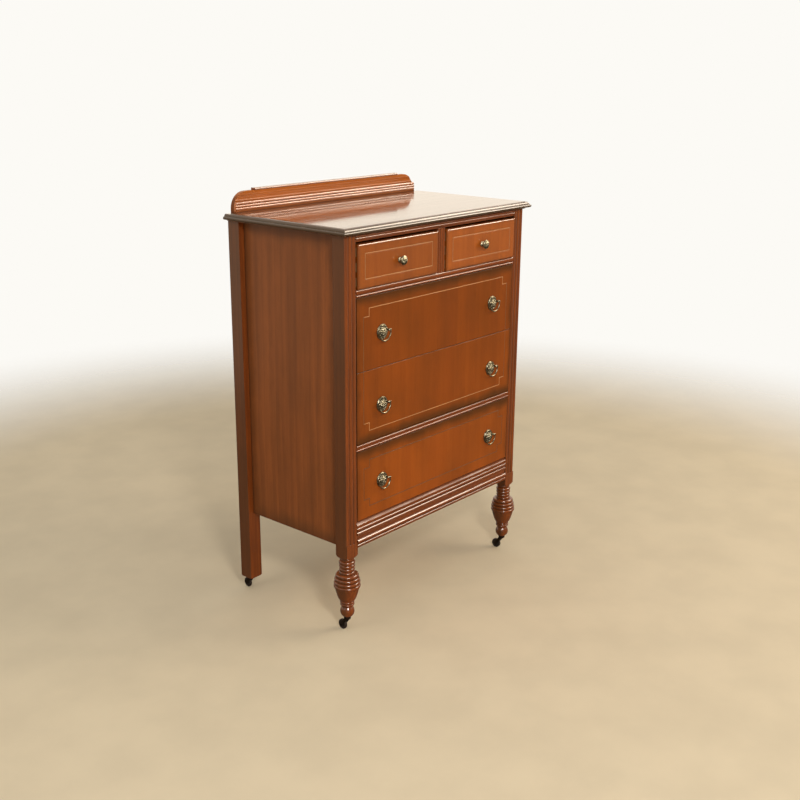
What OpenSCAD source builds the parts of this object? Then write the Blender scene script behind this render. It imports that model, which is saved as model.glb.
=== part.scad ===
// Highboy: a tall chest of drawers on turned front legs and swivel casters.
// Millimetres. X runs along the front to the right, Y runs from front to back, Z is up.
// The origin is on the floor under the middle of the whole chest.

/* [Carcase] */
// Width across the outside of the posts
body_w = 775; // [700:1:860]
// Depth across the outside of the posts
body_d = 437; // [400:1:500]
// Side of a square post
post = 42.5; // [40:0.5:48]
// Thickness of a side panel
panel_t = 12; // [8:0.5:16]
// How far a side panel lies behind the outer face of the posts
panel_inset = 19; // [14:0.5:21]
// Thickness of the back panel
back_t = 6; // [4:0.5:8]
// How deep a panel stands in its groove
groove_d = 7; // [4:0.5:8]
// Length of a rail tenon
tenon_l = 11; // [6:0.5:11]
// Clearance of a glued or sliding-in wood joint
joint_gap = 0.1; // [0.05:0.05:0.2]

/* [Heights] */
// Height of a caster, from the floor to the foot of a leg
caster_h = 43.5; // [42:0.5:54]
// Length of the turned part of a front leg
leg_h = 183; // [175:1:200]
// From the top of the turning to the underside of the base moulding
base_lift = 24; // [22:1:50]
// Height of the base moulding
base_h = 76; // [72:1:90]
// Height of the opening of each wide drawer
wide_open_h = 200; // [170:1:230]
// Height of the rail under the middle drawer
lower_rail_h = 17; // [15:0.5:24]
// Height of the hidden rail between the upper and middle drawers
middle_rail_h = 16; // [12:0.5:20]
// Height of the rail under the small drawers
upper_rail_h = 20; // [19:0.5:26]
// Height of the opening of the small drawers
small_open_h = 123; // [100:1:150]
// Height of the rail under the top
top_rail_h = 18; // [17:0.5:24]
// Thickness of the top
top_t = 21; // [20:0.5:26]

/* [Posts and legs] */
// Number of reeds on the front of a post
post_reeds = 3; // [2:1:4]
// Radius of a reed on a post
post_reed_r = 10; // [9:0.5:12]
// Height of the plain block below the reeds
block_h = 41; // [38:1:60]
// Diameter of the cup and bulb at its widest
bulb_d = 75; // [70:1:84]
// Diameter of the ball at the foot
ball_d = 40; // [37:0.5:42]
// Diameter of the collar below the square
collar_d = 40; // [37:0.5:42]
// Diameter of the rings under the collar
bead_d = 45; // [43:0.5:50]
// Bevel at the foot of a rear post
foot_bevel = 3; // [2:0.5:9]

/* [Rails and runners] */
// Depth of a rear rail
rear_rail_d = 22; // [18:0.5:24]
// Thickness of the base moulding
base_t = 26; // [24:0.5:32]
// How far a runner reaches inwards past a post
runner_reach = 18; // [15:0.5:24]
// Height of the guide that stands on a runner
guide_h = 22; // [14:0.5:30]
// Width of the divider between the small drawers
divider_w = 32; // [28:0.5:40]
// Number of reeds on the divider
divider_reeds = 3; // [2:1:4]
// Width of a drawer stop
stop_w = 30; // [20:1:40]
// Height of a drawer stop
stop_h = 6; // [4:0.5:7]
// Depth of a drawer stop
stop_d = 12; // [8:0.5:14]

/* [Top and gallery] */
// How far the top stands past the posts, at its lowest bead
top_overhang = 17; // [15:0.5:22]
// How far the flat of the top stands past the posts
top_flat_overhang = 3.5; // [2:0.5:5]
// Depth of the seat that the gallery stands in
gallery_seat = 2; // [1:0.5:3]
// Width of the gallery at its foot
gallery_w = 752; // [680:1:770]
// Width of the raised middle of the gallery
gallery_cap_w = 600; // [500:1:620]
// Height of the gallery above the top, without its cap
gallery_h = 55; // [52:1:70]
// Height of the cap of the gallery
gallery_cap_h = 6; // [5:0.5:9]
// Radius of the rounded shoulders of the gallery
shoulder_r = 46; // [25:1:48]
// Thickness of the gallery board
gallery_t = 13; // [10:0.5:16]
// Depth of the moulding along the foot of the gallery
gallery_mould_t = 8; // [7:0.5:12]

/* [Drawers] */
// Thickness of a drawer front
front_t = 20; // [19:0.5:24]
// Thickness of the drawer sides
side_t = 11; // [9:0.5:12]
// Thickness of a drawer back
drawer_back_t = 9; // [7:0.5:12]
// Thickness of a drawer bottom
bottom_t = 6; // [4:0.5:7]
// Height of a drawer bottom above the lower edge of the sides
bottom_lift = 8; // [7.5:0.5:12]
// How deep a drawer bottom stands in its grooves
bottom_groove = 5; // [3:0.5:6]
// Space beside a wide drawer front
front_side_gap = 1.5; // [1:0.1:2]
// Space beside a small drawer front
small_side_gap = 4; // [1:0.1:5]
// Space above and below a wide drawer front
front_gap = 1; // [0.8:0.1:1.5]
// Space above a small drawer front
small_top_gap = 6; // [1.5:0.1:8]
// Running space under the drawer sides
run_gap = 0.3; // [0.3:0.05:0.6]
// Space above the sides of a wide drawer
kick_gap = 3; // [2:0.1:4]
// How far the wide fronts lie behind the posts
wide_recess = 1.6; // [0.5:0.1:2.5]
// How far the small fronts stand before the posts
small_proud = 4; // [1:0.1:6]
// Rounding along the edges of a small front
small_edge_r = 4.5; // [1.5:0.5:6]
// Rounding along the edges of a wide front
wide_edge_r = 1; // [0.5:0.1:1.5]
// Length of a dovetail
tail_l = 12; // [8:0.5:13]
// Number of dovetails at a corner of a wide drawer
wide_tails = 5; // [3:1:6]
// Number of dovetails at a corner of a small drawer
small_tails = 3; // [2:1:4]
// Space behind the drawers
rear_space = 10; // [8:1:30]

/* [Inlay] */
// Width of the inlaid line
line_w = 2; // [1.5:0.1:3]
// Depth of the inlaid line
line_d = 1.2; // [0.8:0.1:2]
// From the ends of a wide front to its inlaid line
line_side = 25; // [18:1:30]
// From the top or bottom of a wide front to its inlaid line
line_top = 31; // [26:1:38]
// Size of the notched corners of the inlaid line
line_notch = 22; // [12:1:28]
// From the edges of a small front to its inlaid line
small_line = 24; // [18:1:30]

/* [Pulls and knobs] */
// From the end of a wide drawer front to the middle of its pull
pull_inset = 98.5; // [80:0.5:140]
// Diameter of the round plate of a pull
plate_d = 42; // [41:0.5:46]
// Distance between the two posts of a pull
pull_posts = 33; // [31:0.5:34]
// Diameter of a pull post
pull_post_d = 7; // [6.5:0.5:8]
// How far the bail's pivot stands before the drawer front
pivot_out = 11; // [10:0.1:12]
// How far the middle of the plate is below the bail's pivot
plate_drop = 4.5; // [3:0.1:5]
// Diameter of the bail
bail_wire = 4; // [3.5:0.1:4.5]
// Diameter of a bail pin
bail_pin = 2.8; // [2.4:0.1:3.2]
// Radial clearance of a bail pin, a stem or an axle
pivot_gap = 0.05; // [0.03:0.01:0.08]
// Diameter of a knob
knob_d = 26; // [22:0.5:28]
// How far a knob stands before its drawer front
knob_out = 21; // [18:0.5:24]
// Diameter of a knob shank
knob_shank = 6; // [5:0.5:7]

/* [Casters] */
// Diameter of a caster wheel
wheel_d = 29; // [26:0.5:30]
// Width of a caster wheel
wheel_w = 8; // [7:0.5:10]
// From the swivel axis to the wheel axis
trail = 19; // [18.5:0.5:24]
// Angle that the casters trail away from straight back
caster_turn = 5; // [0:1:40]
// Diameter of a swivel stem
stem_d = 8; // [7:0.5:9]
// Length of a swivel stem in its leg
stem_l = 28; // [20:1:30]
// Thickness of a fork cheek
cheek_t = 2; // [1.5:0.1:2.5]
// Space beside a wheel
wheel_gap = 0.4; // [0.3:0.05:0.6]
// Diameter of a wheel axle
axle_d = 4; // [3:0.5:5]

/* [Hidden] */

// Smoothness of round pieces
round_fn = 48;
// A cut runs this far past the faces that it opens
past = 1;

// Colours
walnut = [0.40, 0.20, 0.11];
walnut_dark = [0.30, 0.14, 0.08];
figured = [0.55, 0.27, 0.12];
drawer_wood = [0.72, 0.56, 0.38];
holly = [0.80, 0.62, 0.42];
old_brass = [0.50, 0.42, 0.26];
iron = [0.16, 0.13, 0.11];

// Heights, from the floor up
foot_z = caster_h;
leg_top = foot_z + leg_h;
base_z = leg_top + base_lift;
lower_z = base_z + base_h;
lower_rail_z = lower_z + wide_open_h;
middle_z = lower_rail_z + lower_rail_h;
upper_z = middle_z + wide_open_h;
middle_rail_z = upper_z - middle_rail_h / 2;
upper_rail_z = upper_z + wide_open_h;
small_z = upper_rail_z + upper_rail_h;
top_rail_z = small_z + small_open_h;
top_under = top_rail_z + top_rail_h;
top_z = top_under + top_t;

// How far the casters reach behind the posts
wheel_round = 2;
wheel_reach = (wheel_d / 2 - wheel_round) * cos(caster_turn)
    + (wheel_w / 2 - wheel_round) * sin(caster_turn) + wheel_round;
rear_reach = trail * cos(caster_turn) + wheel_reach - post / 2;
front_reach = small_proud + knob_out;

// Planes of the carcase, set so that the origin is under the middle of the whole chest
front_y = (front_reach - rear_reach - body_d) / 2;
back_y = front_y + body_d;
side_x = body_w / 2;
open_x = side_x - post;
leg_x = side_x - post / 2;
leg_front_y = front_y + post / 2;
leg_rear_y = back_y - post / 2;
frame_front = front_y + post;
frame_rear = back_y - post;
panel_out = side_x - panel_inset;
panel_in = panel_out - panel_t;

// Seats of the rails in the posts
tenon_side = 4;
tenon_face = 7;
back_panel_y = frame_rear + rear_rail_d + 6;

// Planes of the drawers
wide_face = front_y + wide_recess;
small_face = front_y - small_proud;
drawer_rear = back_panel_y - rear_space;
wide_half = open_x - front_side_gap;
pull_x = wide_half - pull_inset;
lap_gap = 0.5;
rail_front = wide_face + front_t + lap_gap;

// Gallery planes
gallery_foot = top_z - gallery_seat;
gallery_top = top_z + gallery_h;
gallery_face = back_y - gallery_t;
gallery_front = gallery_face - gallery_mould_t;

// A drawer is [left, right, front bottom, front top, box bottom, box top, face, edge, tails]
function small_drawer(side) =
    let (near = divider_w / 2 + small_side_gap, far = open_x - small_side_gap,
         top = small_z + small_open_h - small_top_gap)
    [side > 0 ? near : -far, side > 0 ? far : -near, small_z + front_gap, top,
     small_z + run_gap, top - front_gap, small_face, small_edge_r, small_tails];
upper_drawer = [-wide_half, wide_half, upper_z + front_gap / 2, upper_rail_z - front_gap,
    upper_z + middle_rail_h / 2 + run_gap, upper_rail_z - kick_gap, wide_face, wide_edge_r, wide_tails];
middle_drawer = [-wide_half, wide_half, middle_z + front_gap, upper_z - front_gap / 2,
    middle_z + run_gap, middle_rail_z - kick_gap, wide_face, wide_edge_r, wide_tails];
lower_drawer = [-wide_half, wide_half, lower_z + front_gap, lower_rail_z - front_gap,
    lower_z + run_gap, lower_rail_z - kick_gap, wide_face, wide_edge_r, wide_tails];
small_left = small_drawer(-1);
small_right = small_drawer(1);

// Middle of a drawer front
function mid_x(d) = (d[0] + d[1]) / 2;
function mid_z(d) = (d[2] + d[3]) / 2;

// Helpers
module block(lo, hi) {
    translate(lo) cube(hi - lo);
}
module along_x(x0, x1) {
    translate([x0, 0, 0]) rotate([90, 0, 90]) linear_extrude(x1 - x0) children();
}
module along_y(y0, y1) {
    translate([0, y1, 0]) rotate([90, 0, 0]) linear_extrude(y1 - y0) children();
}
module along_z(z0, z1) {
    translate([0, 0, z0]) linear_extrude(z1 - z0) children();
}
module on_side(side) {
    mirror([side < 0 ? 1 : 0, 0, 0]) children();
}
module both_sides() {
    children();
    mirror([1, 0, 0]) children();
}
module dot(x, y, r) {
    translate([x, y]) circle(r, $fn = round_fn);
}
module plate2d(x0, x1, y0, y1) {
    translate([x0, y0]) square([x1 - x0, y1 - y0]);
}

// Tenons on both ends of a rail, or with extra room the mortises that take them
module tenons(y0, y1, z0, z1, extra = 0) {
    both_sides()
        block([open_x - (extra > 0 ? past : 0), y0 + tenon_face - extra, z0 + tenon_side - extra],
              [open_x + tenon_l + extra, y1 - tenon_face + extra, z1 - tenon_side + extra]);
}
module front_tenons(extra = 0) {
    tenons(front_y, front_y + base_t, base_z, lower_z, extra);
    tenons(front_y, frame_front, lower_rail_z, middle_z, extra);
    tenons(rail_front, frame_front, middle_rail_z, middle_rail_z + middle_rail_h, extra);
    tenons(front_y, frame_front, upper_rail_z, small_z, extra);
    tenons(front_y, frame_front, top_rail_z, top_under, extra);
}

// Heights of the tops of the frames that carry the drawers, with the frame under the top
frame_t = upper_rail_h;
rear_rail_tops = [lower_z, middle_z, middle_rail_z + middle_rail_h, small_z, top_under];
rear_rail_heights = [frame_t, lower_rail_h, middle_rail_h, upper_rail_h, top_rail_h];
module rear_tenons(extra = 0) {
    for (i = [0 : len(rear_rail_tops) - 1])
        tenons(frame_rear, frame_rear + rear_rail_d,
               rear_rail_tops[i] - rear_rail_heights[i], rear_rail_tops[i], extra);
}

// Square of a post with reeds on its front
module reeded_square(w, d, reeds, r) {
    pitch = w / reeds;
    intersection() {
        plate2d(-w / 2, w / 2, -past, d + past);
        union() {
            plate2d(-w, w, r, d);
            for (i = [0 : reeds - 1])
                dot((i + 0.5) * pitch - w / 2, r, r);
        }
    }
}

// Turned front leg: five rings under the square, four that swell out to the bulb, a cup, and
// two small rings over the ball at its foot
leg_ring_h = 10.8;
neck_rings = 5;
neck_pitch = 10.3;
bulb_rings = 4;
bulb_pitch = 10.6;
bulb_swell = 0.6;
bulb_drop = 54;
cup_drop = 91;
cup_lift = 52;
cup_foot_r = 19;
cup_bow = 0.62;
foot_ring_r = 3.6;
module leg_ring(r, z, h = leg_ring_h) {
    dot(r - h / 2, z, h / 2);
    plate2d(0, r - h / 2, z - 0.52 * h, z + 0.52 * h);
}
// Half outline of the leg, radius across and height up
module leg_outline() {
    bulb_r = bulb_d / 2;
    ball_r = ball_d / 2;
    core_r = collar_d / 2 - 5;
    neck_r = [collar_d, bead_d, bead_d - 1, bead_d - 2, bead_d - 1] / 2;
    cup_top = leg_top - cup_drop;
    cup_foot = foot_z + cup_lift;
    cup_steps = 12;
    plate2d(0, core_r, foot_z + ball_r, leg_top);
    plate2d(0, collar_d / 2 - 1, leg_top - 4, leg_top);
    for (i = [0 : neck_rings - 1])
        leg_ring(neck_r[i], leg_top - 5 - i * neck_pitch);
    for (i = [0 : bulb_rings - 1])
        leg_ring(bulb_r - bulb_swell * pow(bulb_rings - 1 - i, 2), leg_top - bulb_drop - i * bulb_pitch);
    polygon(concat([[0, cup_top], [0, cup_foot - 1], [cup_foot_r - 2, cup_foot - 1]],
        [for (i = [0 : cup_steps])
            let (u = i / cup_steps)
            [cup_foot_r + (bulb_r - 3 - cup_foot_r) * pow(u, cup_bow), cup_foot + (cup_top - cup_foot) * u]]));
    for (i = [0, 1])
        leg_ring(cup_foot_r + 0.8, cup_foot - foot_ring_r * (1.2 + 1.9 * i), 2 * foot_ring_r);
    intersection() {
        dot(0, foot_z + ball_r - 0.5, ball_r);
        plate2d(0, ball_r + past, foot_z, foot_z + 2 * ball_r);
    }
}

// Hole up the foot of a leg for the caster socket
sleeve_wall = 1.5;
sleeve_r = stem_d / 2 + sleeve_wall;
flange_t = 2;
module socket_hole(y) {
    translate([leg_x, y, foot_z - past])
        cylinder(h = stem_l + 3 + past, r = sleeve_r + pivot_gap, $fn = round_fn);
}

// Groove in the posts for a side panel
module side_groove(y0, y1) {
    block([panel_in - joint_gap, y0, base_z - joint_gap], [panel_out + joint_gap, y1, top_under + past]);
}

module post_front(side) {
    shoulder_h = 11;
    shoulder_steps = 6;
    half_diagonal = post / sqrt(2) + 1;
    collar_r = collar_d / 2;
    color(walnut) on_side(side) difference() {
        union() {
            translate([leg_x, leg_front_y, 0])
                rotate_extrude($fn = round_fn) leg_outline();
            intersection() {
                block([open_x, front_y, leg_top], [side_x, frame_front, leg_top + block_h]);
                translate([leg_x, leg_front_y, 0]) rotate_extrude($fn = round_fn)
                    polygon(concat([[0, leg_top + block_h], [0, leg_top]],
                        [for (i = [0 : shoulder_steps])
                            let (a = 90 * i / shoulder_steps)
                            [collar_r + (half_diagonal - collar_r) * sin(a),
                             leg_top + shoulder_h * (1 - cos(a))]],
                        [[half_diagonal, leg_top + block_h]]));
            }
            translate([leg_x, front_y, 0]) along_z(leg_top + block_h, top_under)
                reeded_square(post, post, post_reeds, post_reed_r);
        }
        front_tenons(joint_gap);
        side_groove(frame_front - groove_d - joint_gap, frame_front + past);
        socket_hole(leg_front_y);
    }
}

module post_rear(side) {
    half_diagonal = post / sqrt(2) + 1;
    color(walnut) on_side(side) difference() {
        intersection() {
            block([open_x, frame_rear, foot_z], [side_x, back_y, top_under]);
            translate([leg_x, leg_rear_y, 0]) rotate_extrude($fn = round_fn)
                polygon([[0, foot_z], [half_diagonal - 1 - foot_bevel, foot_z],
                         [half_diagonal, foot_z + foot_bevel + 1],
                         [half_diagonal, top_under], [0, top_under]]);
        }
        rear_tenons(joint_gap);
        side_groove(frame_rear - past, frame_rear + groove_d + joint_gap);
        block([open_x - past, back_panel_y - joint_gap, base_z - joint_gap],
              [open_x + groove_d + joint_gap, back_panel_y + back_t + joint_gap, top_under + past]);
        socket_hole(leg_rear_y);
    }
}

module side_panel(side) {
    color(walnut) on_side(side)
        block([panel_in, frame_front - groove_d, base_z], [panel_out, frame_rear + groove_d, top_under]);
}

module back_panel() {
    color(drawer_wood)
        block([-open_x - groove_d, back_panel_y, base_z], [open_x + groove_d, back_panel_y + back_t, top_under]);
}

// Edge of the top: a quarter round over a bead, with a small cove under it
bead_r_top = 4.5;
module top_edge(inner, outer) {
    flat = outer + top_flat_overhang;
    bead_x = outer + top_overhang - bead_r_top;
    bead_y = top_under + 3.5 + bead_r_top;
    curve = bead_x - flat;
    plate2d(inner, flat, top_under, top_z);
    intersection() {
        translate([flat, bead_y + bead_r_top - 1]) scale(curve) dot(0, 0, 1);
        plate2d(inner, outer + top_overhang, bead_y, top_z);
    }
    plate2d(inner, bead_x, top_under + 3.5, bead_y + bead_r_top - 1);
    dot(bead_x, bead_y, bead_r_top);
}
module top_board() {
    color(walnut) difference() {
        intersection() {
            along_x(-side_x - top_overhang - past, side_x + top_overhang + past)
                mirror([1, 0]) top_edge(-back_y, -front_y);
            along_y(front_y - top_overhang - past, back_y + past)
                both_sides() top_edge(-past, side_x);
        }
        block([-side_x - top_overhang - past, gallery_front, gallery_foot],
              [side_x + top_overhang + past, back_y + past, top_z + past]);
    }
}

// Outline of the gallery seen from the front
module gallery_outline(top) {
    half = gallery_w / 2;
    plate2d(-half, half, gallery_foot, gallery_top - shoulder_r);
    plate2d(-half + shoulder_r, half - shoulder_r, gallery_foot, top);
    for (side = [-1, 1])
        dot(side * (half - shoulder_r), gallery_top - shoulder_r, shoulder_r);
}
hollow_r = 12;
hollow_depth = 1.5;
module gallery_board() {
    color(walnut) intersection() {
        along_y(gallery_face - past, back_y + past) gallery_outline(gallery_top);
        along_x(-gallery_w, gallery_w) {
            difference() {
                plate2d(gallery_face, back_y, gallery_foot, gallery_top);
                dot(gallery_face - hollow_r + hollow_depth, gallery_top - 18.5, hollow_r);
            }
            dot(gallery_face + 1, gallery_top - 9, 2.2);
        }
    }
}
// Moulding along the foot of the gallery: a band, two reeds and a broader one
module gallery_moulding() {
    band = 6 + gallery_seat;
    reed_h = 7;
    top_reed_h = 8.4;
    reeds_top = gallery_foot + band + 2 * reed_h;
    color(walnut_dark) intersection() {
        along_y(gallery_front - past, gallery_face + past) gallery_outline(gallery_top);
        along_x(-gallery_w, gallery_w) {
            plate2d(gallery_front + 1, gallery_face, gallery_foot, gallery_foot + band);
            plate2d(gallery_front + 2.5, gallery_face, gallery_foot, reeds_top + top_reed_h - 1);
            for (i = [0, 1])
                dot(gallery_front + 3.7, gallery_foot + band + (i + 0.5) * reed_h, 3.7);
            dot(gallery_front + 3.7, reeds_top + top_reed_h / 2, top_reed_h / 2);
        }
    }
}
module gallery_cap() {
    color(walnut_dark) along_x(-gallery_cap_w / 2, gallery_cap_w / 2) {
        plate2d(gallery_face, back_y, gallery_top, gallery_top + gallery_cap_h);
        dot(gallery_face, gallery_top + gallery_cap_h / 2, gallery_cap_h / 2);
    }
}

// A front rail with its tenons, its face drawn by the children as an outline of depth and height
module front_rail(y1, z0, z1, y0 = front_y) {
    union() {
        along_x(-open_x, open_x) children();
        tenons(y0, y1, z0, z1);
    }
}

// A bead near the edge of a rail lies this far inside it
bead_drop = 0.2;

module top_rail() {
    r = 3.3;
    color(walnut_dark) front_rail(frame_front, top_rail_z, top_under) {
        plate2d(front_y + 4, frame_front, top_rail_z, top_under);
        plate2d(front_y + 2, frame_front, top_rail_z + 5, top_under);
        for (i = [0, 1])
            dot(front_y + r, top_under - bead_drop - (1 + 2 * i) * r, r);
    }
}

module upper_rail() {
    r = 3;
    brow = 12.5;
    color(walnut_dark) front_rail(frame_front, upper_rail_z, small_z) {
        plate2d(front_y + 3, frame_front, upper_rail_z, small_z);
        intersection() {
            dot(front_y + 9, small_z - brow / 2, 9);
            plate2d(front_y - past, frame_front, small_z - brow, small_z);
        }
        dot(front_y + r - 0.4, upper_rail_z + bead_drop + r, r);
    }
}

module middle_rail() {
    color(drawer_wood) front_rail(frame_front, middle_rail_z, middle_rail_z + middle_rail_h, rail_front)
        plate2d(rail_front, frame_front, middle_rail_z, middle_rail_z + middle_rail_h);
}

module lower_rail() {
    r = 2.6;
    color(walnut_dark) front_rail(frame_front, lower_rail_z, middle_z) {
        plate2d(front_y + 2, frame_front, lower_rail_z, middle_z);
        dot(front_y + r, middle_z - bead_drop - r, r);
        dot(front_y + r, lower_rail_z + bead_drop + r, r);
    }
}

// Base moulding: cove, two reeds, plain band, large bead and small bead
module base_moulding() {
    reed = 5.2;
    big = 6.2;
    small = 4.2;
    cove = 19;
    band = front_y + 4.5;
    back = front_y + base_t;
    color(walnut) front_rail(back, base_z, lower_z) {
        plate2d(front_y + 9, back, base_z, lower_z);
        plate2d(front_y + 9, frame_front, lower_z - frame_t, lower_z);
        difference() {
            plate2d(front_y + 1, back, lower_z - cove, lower_z - 2);
            dot(front_y - 22, lower_z + 10, 31);
        }
        plate2d(band, back, base_z, lower_z - cove);
        for (z = [lower_z - 24.6, lower_z - 37])
            dot(front_y + reed - 0.5, z, reed);
        dot(front_y + big - 2.5, base_z + 16.6, big);
        dot(front_y + small - 1.5, base_z + 5.2, small);
        plate2d(front_y + 1, back, base_z, base_z + 2.5);
    }
}

module drawer_divider() {
    reed_r = divider_w / divider_reeds * 0.6;
    color(walnut) translate([0, front_y, 0]) along_z(small_z, top_rail_z)
        reeded_square(divider_w, post, divider_reeds, reed_r);
}

module rear_rails() {
    color(drawer_wood) for (i = [0 : len(rear_rail_tops) - 1]) union() {
        z1 = rear_rail_tops[i];
        z0 = z1 - rear_rail_heights[i];
        block([-open_x, frame_rear, z0], [open_x, frame_rear + rear_rail_d, z1]);
        tenons(frame_rear, frame_rear + rear_rail_d, z0, z1);
    }
}

// Runners under the drawers, with guides beside them and kickers under the top
module runner(z0, z1, guided = true) {
    union() {
        block([open_x - runner_reach, frame_front, z0], [panel_in, frame_rear, z1]);
        if (guided)
            block([open_x, frame_front, z0], [panel_in, frame_rear, z1 + guide_h]);
    }
}
module drawer_runners() {
    color(drawer_wood) {
        both_sides() {
            runner(lower_z - frame_t, lower_z);
            runner(lower_rail_z, middle_z);
            runner(middle_rail_z, middle_rail_z + middle_rail_h);
            runner(upper_rail_z, small_z);
            runner(top_rail_z, top_under, false);
        }
        half = divider_w / 2;
        union() {
            block([-half - runner_reach, frame_front, upper_rail_z], [half + runner_reach, frame_rear, small_z]);
            block([-half, frame_front, upper_rail_z], [half, frame_rear, small_z + guide_h]);
        }
        block([-half - runner_reach, frame_front, top_rail_z], [half + runner_reach, frame_rear, top_under]);
    }
}

// Blocks behind the drawer fronts that stop the drawers
module stop_block(x, y, z) {
    block([x - stop_w / 2, y + run_gap, z], [x + stop_w / 2, y + run_gap + stop_d, z + stop_h]);
}
module drawer_stops() {
    color(drawer_wood) {
        both_sides() {
            stop_block(pull_x, wide_face + front_t, lower_z);
            stop_block(pull_x, wide_face + front_t, middle_z);
            stop_block(open_x / 2 - 80, small_face + front_t, small_z);
            stop_block(open_x / 2 + 100, small_face + front_t, small_z);
        }
    }
}

// Dovetails that run forward from the front end of a drawer side, seen from the side
module tails2d(d, root, extra = 0) {
    height = d[5] - d[4];
    pitch = height / d[8];
    wide = pitch * 0.62 + extra;
    narrow = pitch * 0.44 + extra;
    for (i = [0 : d[8] - 1]) {
        z = d[4] + (i + 0.5) * pitch;
        translate([root, z]) polygon([[past, -narrow / 2], [0, -narrow / 2],
            [-tail_l - extra / 2, -wide / 2], [-tail_l - extra / 2, wide / 2],
            [0, narrow / 2], [past, narrow / 2]]);
    }
}

// Section through a drawer front: its face rounded at both edges
module front_section(lo, hi, depth, r) {
    plate2d(lo + r, hi - r, 0, depth);
    plate2d(lo, hi, r, depth);
    dot(lo + r, r, r);
    dot(hi - r, r, r);
}
module front_blank(d) {
    translate([0, d[6], 0]) intersection() {
        along_z(d[2] - past, d[3] + past) front_section(d[0], d[1], front_t, d[7]);
        along_x(d[0] - past, d[1] + past)
            mirror([1, 0]) rotate(90) front_section(d[2], d[3], front_t, d[7]);
    }
}
module bottom_panel(d, extra = 0) {
    z = d[4] + bottom_lift;
    block([d[0] + side_t - bottom_groove - extra, d[6] + front_t - bottom_groove - extra, z - extra],
          [d[1] - side_t + bottom_groove + extra, drawer_rear + (extra > 0 ? past : 0), z + bottom_t + extra]);
}
module drawer_front(d) {
    root = d[6] + front_t;
    difference() {
        front_blank(d);
        for (end = [0, 1])
            along_x(end == 0 ? d[0] - past : d[1] - side_t - joint_gap,
                    end == 0 ? d[0] + side_t + joint_gap : d[1] + past)
                tails2d(d, root, 2 * joint_gap);
        bottom_panel(d, joint_gap);
        children();
    }
}
// Sides and back of a drawer
module drawer_box(d) {
    root = d[6] + front_t;
    housing = 4;
    back_y1 = drawer_rear - 3;
    back_y0 = back_y1 - drawer_back_t;
    color(drawer_wood) {
        for (x = [d[0], d[1] - side_t]) difference() {
            union() {
                block([x, root, d[4]], [x + side_t, drawer_rear, d[5]]);
                along_x(x, x + side_t) tails2d(d, root);
            }
            bottom_panel(d, joint_gap);
            block([d[0] + side_t - housing - joint_gap, back_y0 - joint_gap, d[4] + bottom_lift],
                  [d[1] - side_t + housing + joint_gap, back_y1 + joint_gap, d[5] + past]);
        }
        block([d[0] + side_t - housing, back_y0, d[4] + bottom_lift + bottom_t + joint_gap],
              [d[1] - side_t + housing, back_y1, d[5] - 2]);
    }
}
module drawer_bottom(d) {
    color(drawer_wood) bottom_panel(d);
}

// Outline of the inlaid line with square notches at its corners. At an open top or foot it
// runs on straight to the edge of the front, where the next drawer takes it up
module notched(d, open_top, open_foot, inset, over) {
    x0 = d[0] + line_side + inset;
    x1 = d[1] - line_side - inset;
    z0 = open_foot ? d[2] - over : d[2] + line_top + inset;
    z1 = open_top ? d[3] + over : d[3] - line_top - inset;
    difference() {
        plate2d(x0, x1, z0, z1);
        for (x = [x0 - past, x1 - line_notch]) {
            if (!open_top)
                plate2d(x, x + line_notch + past, z1 - line_notch, z1 + past);
            if (!open_foot)
                plate2d(x, x + line_notch + past, z0 - past, z0 + line_notch);
        }
    }
}
module wide_line(d, open_top, open_foot, gap) {
    difference() {
        notched(d, open_top, open_foot, -gap, gap > 0 ? past : 0);
        notched(d, open_top, open_foot, line_w + gap, 2 * past);
    }
}
module small_line_outline(d, gap) {
    difference() {
        plate2d(d[0] + small_line - gap, d[1] - small_line + gap,
                d[2] + small_line - gap, d[3] - small_line + gap);
        plate2d(d[0] + small_line + line_w + gap, d[1] - small_line - line_w - gap,
                d[2] + small_line + line_w + gap, d[3] - small_line - line_w - gap);
    }
}
module line_cut(d) {
    along_y(d[6] - past, d[6] + line_d) children();
}
module line_fill(d) {
    color(holly) along_y(d[6], d[6] + line_d) children();
}

// Knobs of the small drawers
shank_in = 14;
module knob_hole(d) {
    translate([mid_x(d), d[6] - past, mid_z(d)]) rotate([-90, 0, 0])
        cylinder(h = shank_in + 1 + past, r = knob_shank / 2 + pivot_gap, $fn = round_fn);
}
module knob(d) {
    r = knob_d / 2;
    face_r = 16;
    rim_r = 3.2;
    rim_in = 8;
    color(old_brass) translate([mid_x(d), d[6], mid_z(d)]) rotate([90, 0, 0]) rotate_extrude($fn = round_fn) {
        plate2d(0, knob_shank / 2, -shank_in, 1);
        plate2d(0, r * 0.56, 0, 2);
        plate2d(0, r * 0.36, 0, knob_out - rim_in);
        intersection() {
            dot(0, knob_out - face_r, face_r);
            plate2d(0, r - 2, knob_out - rim_in - 1, knob_out);
        }
        plate2d(0, r - rim_r, knob_out - rim_in - rim_r + 0.4, knob_out - rim_in + 1);
        dot(r - rim_r, knob_out - rim_in, rim_r);
    }
}

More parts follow.
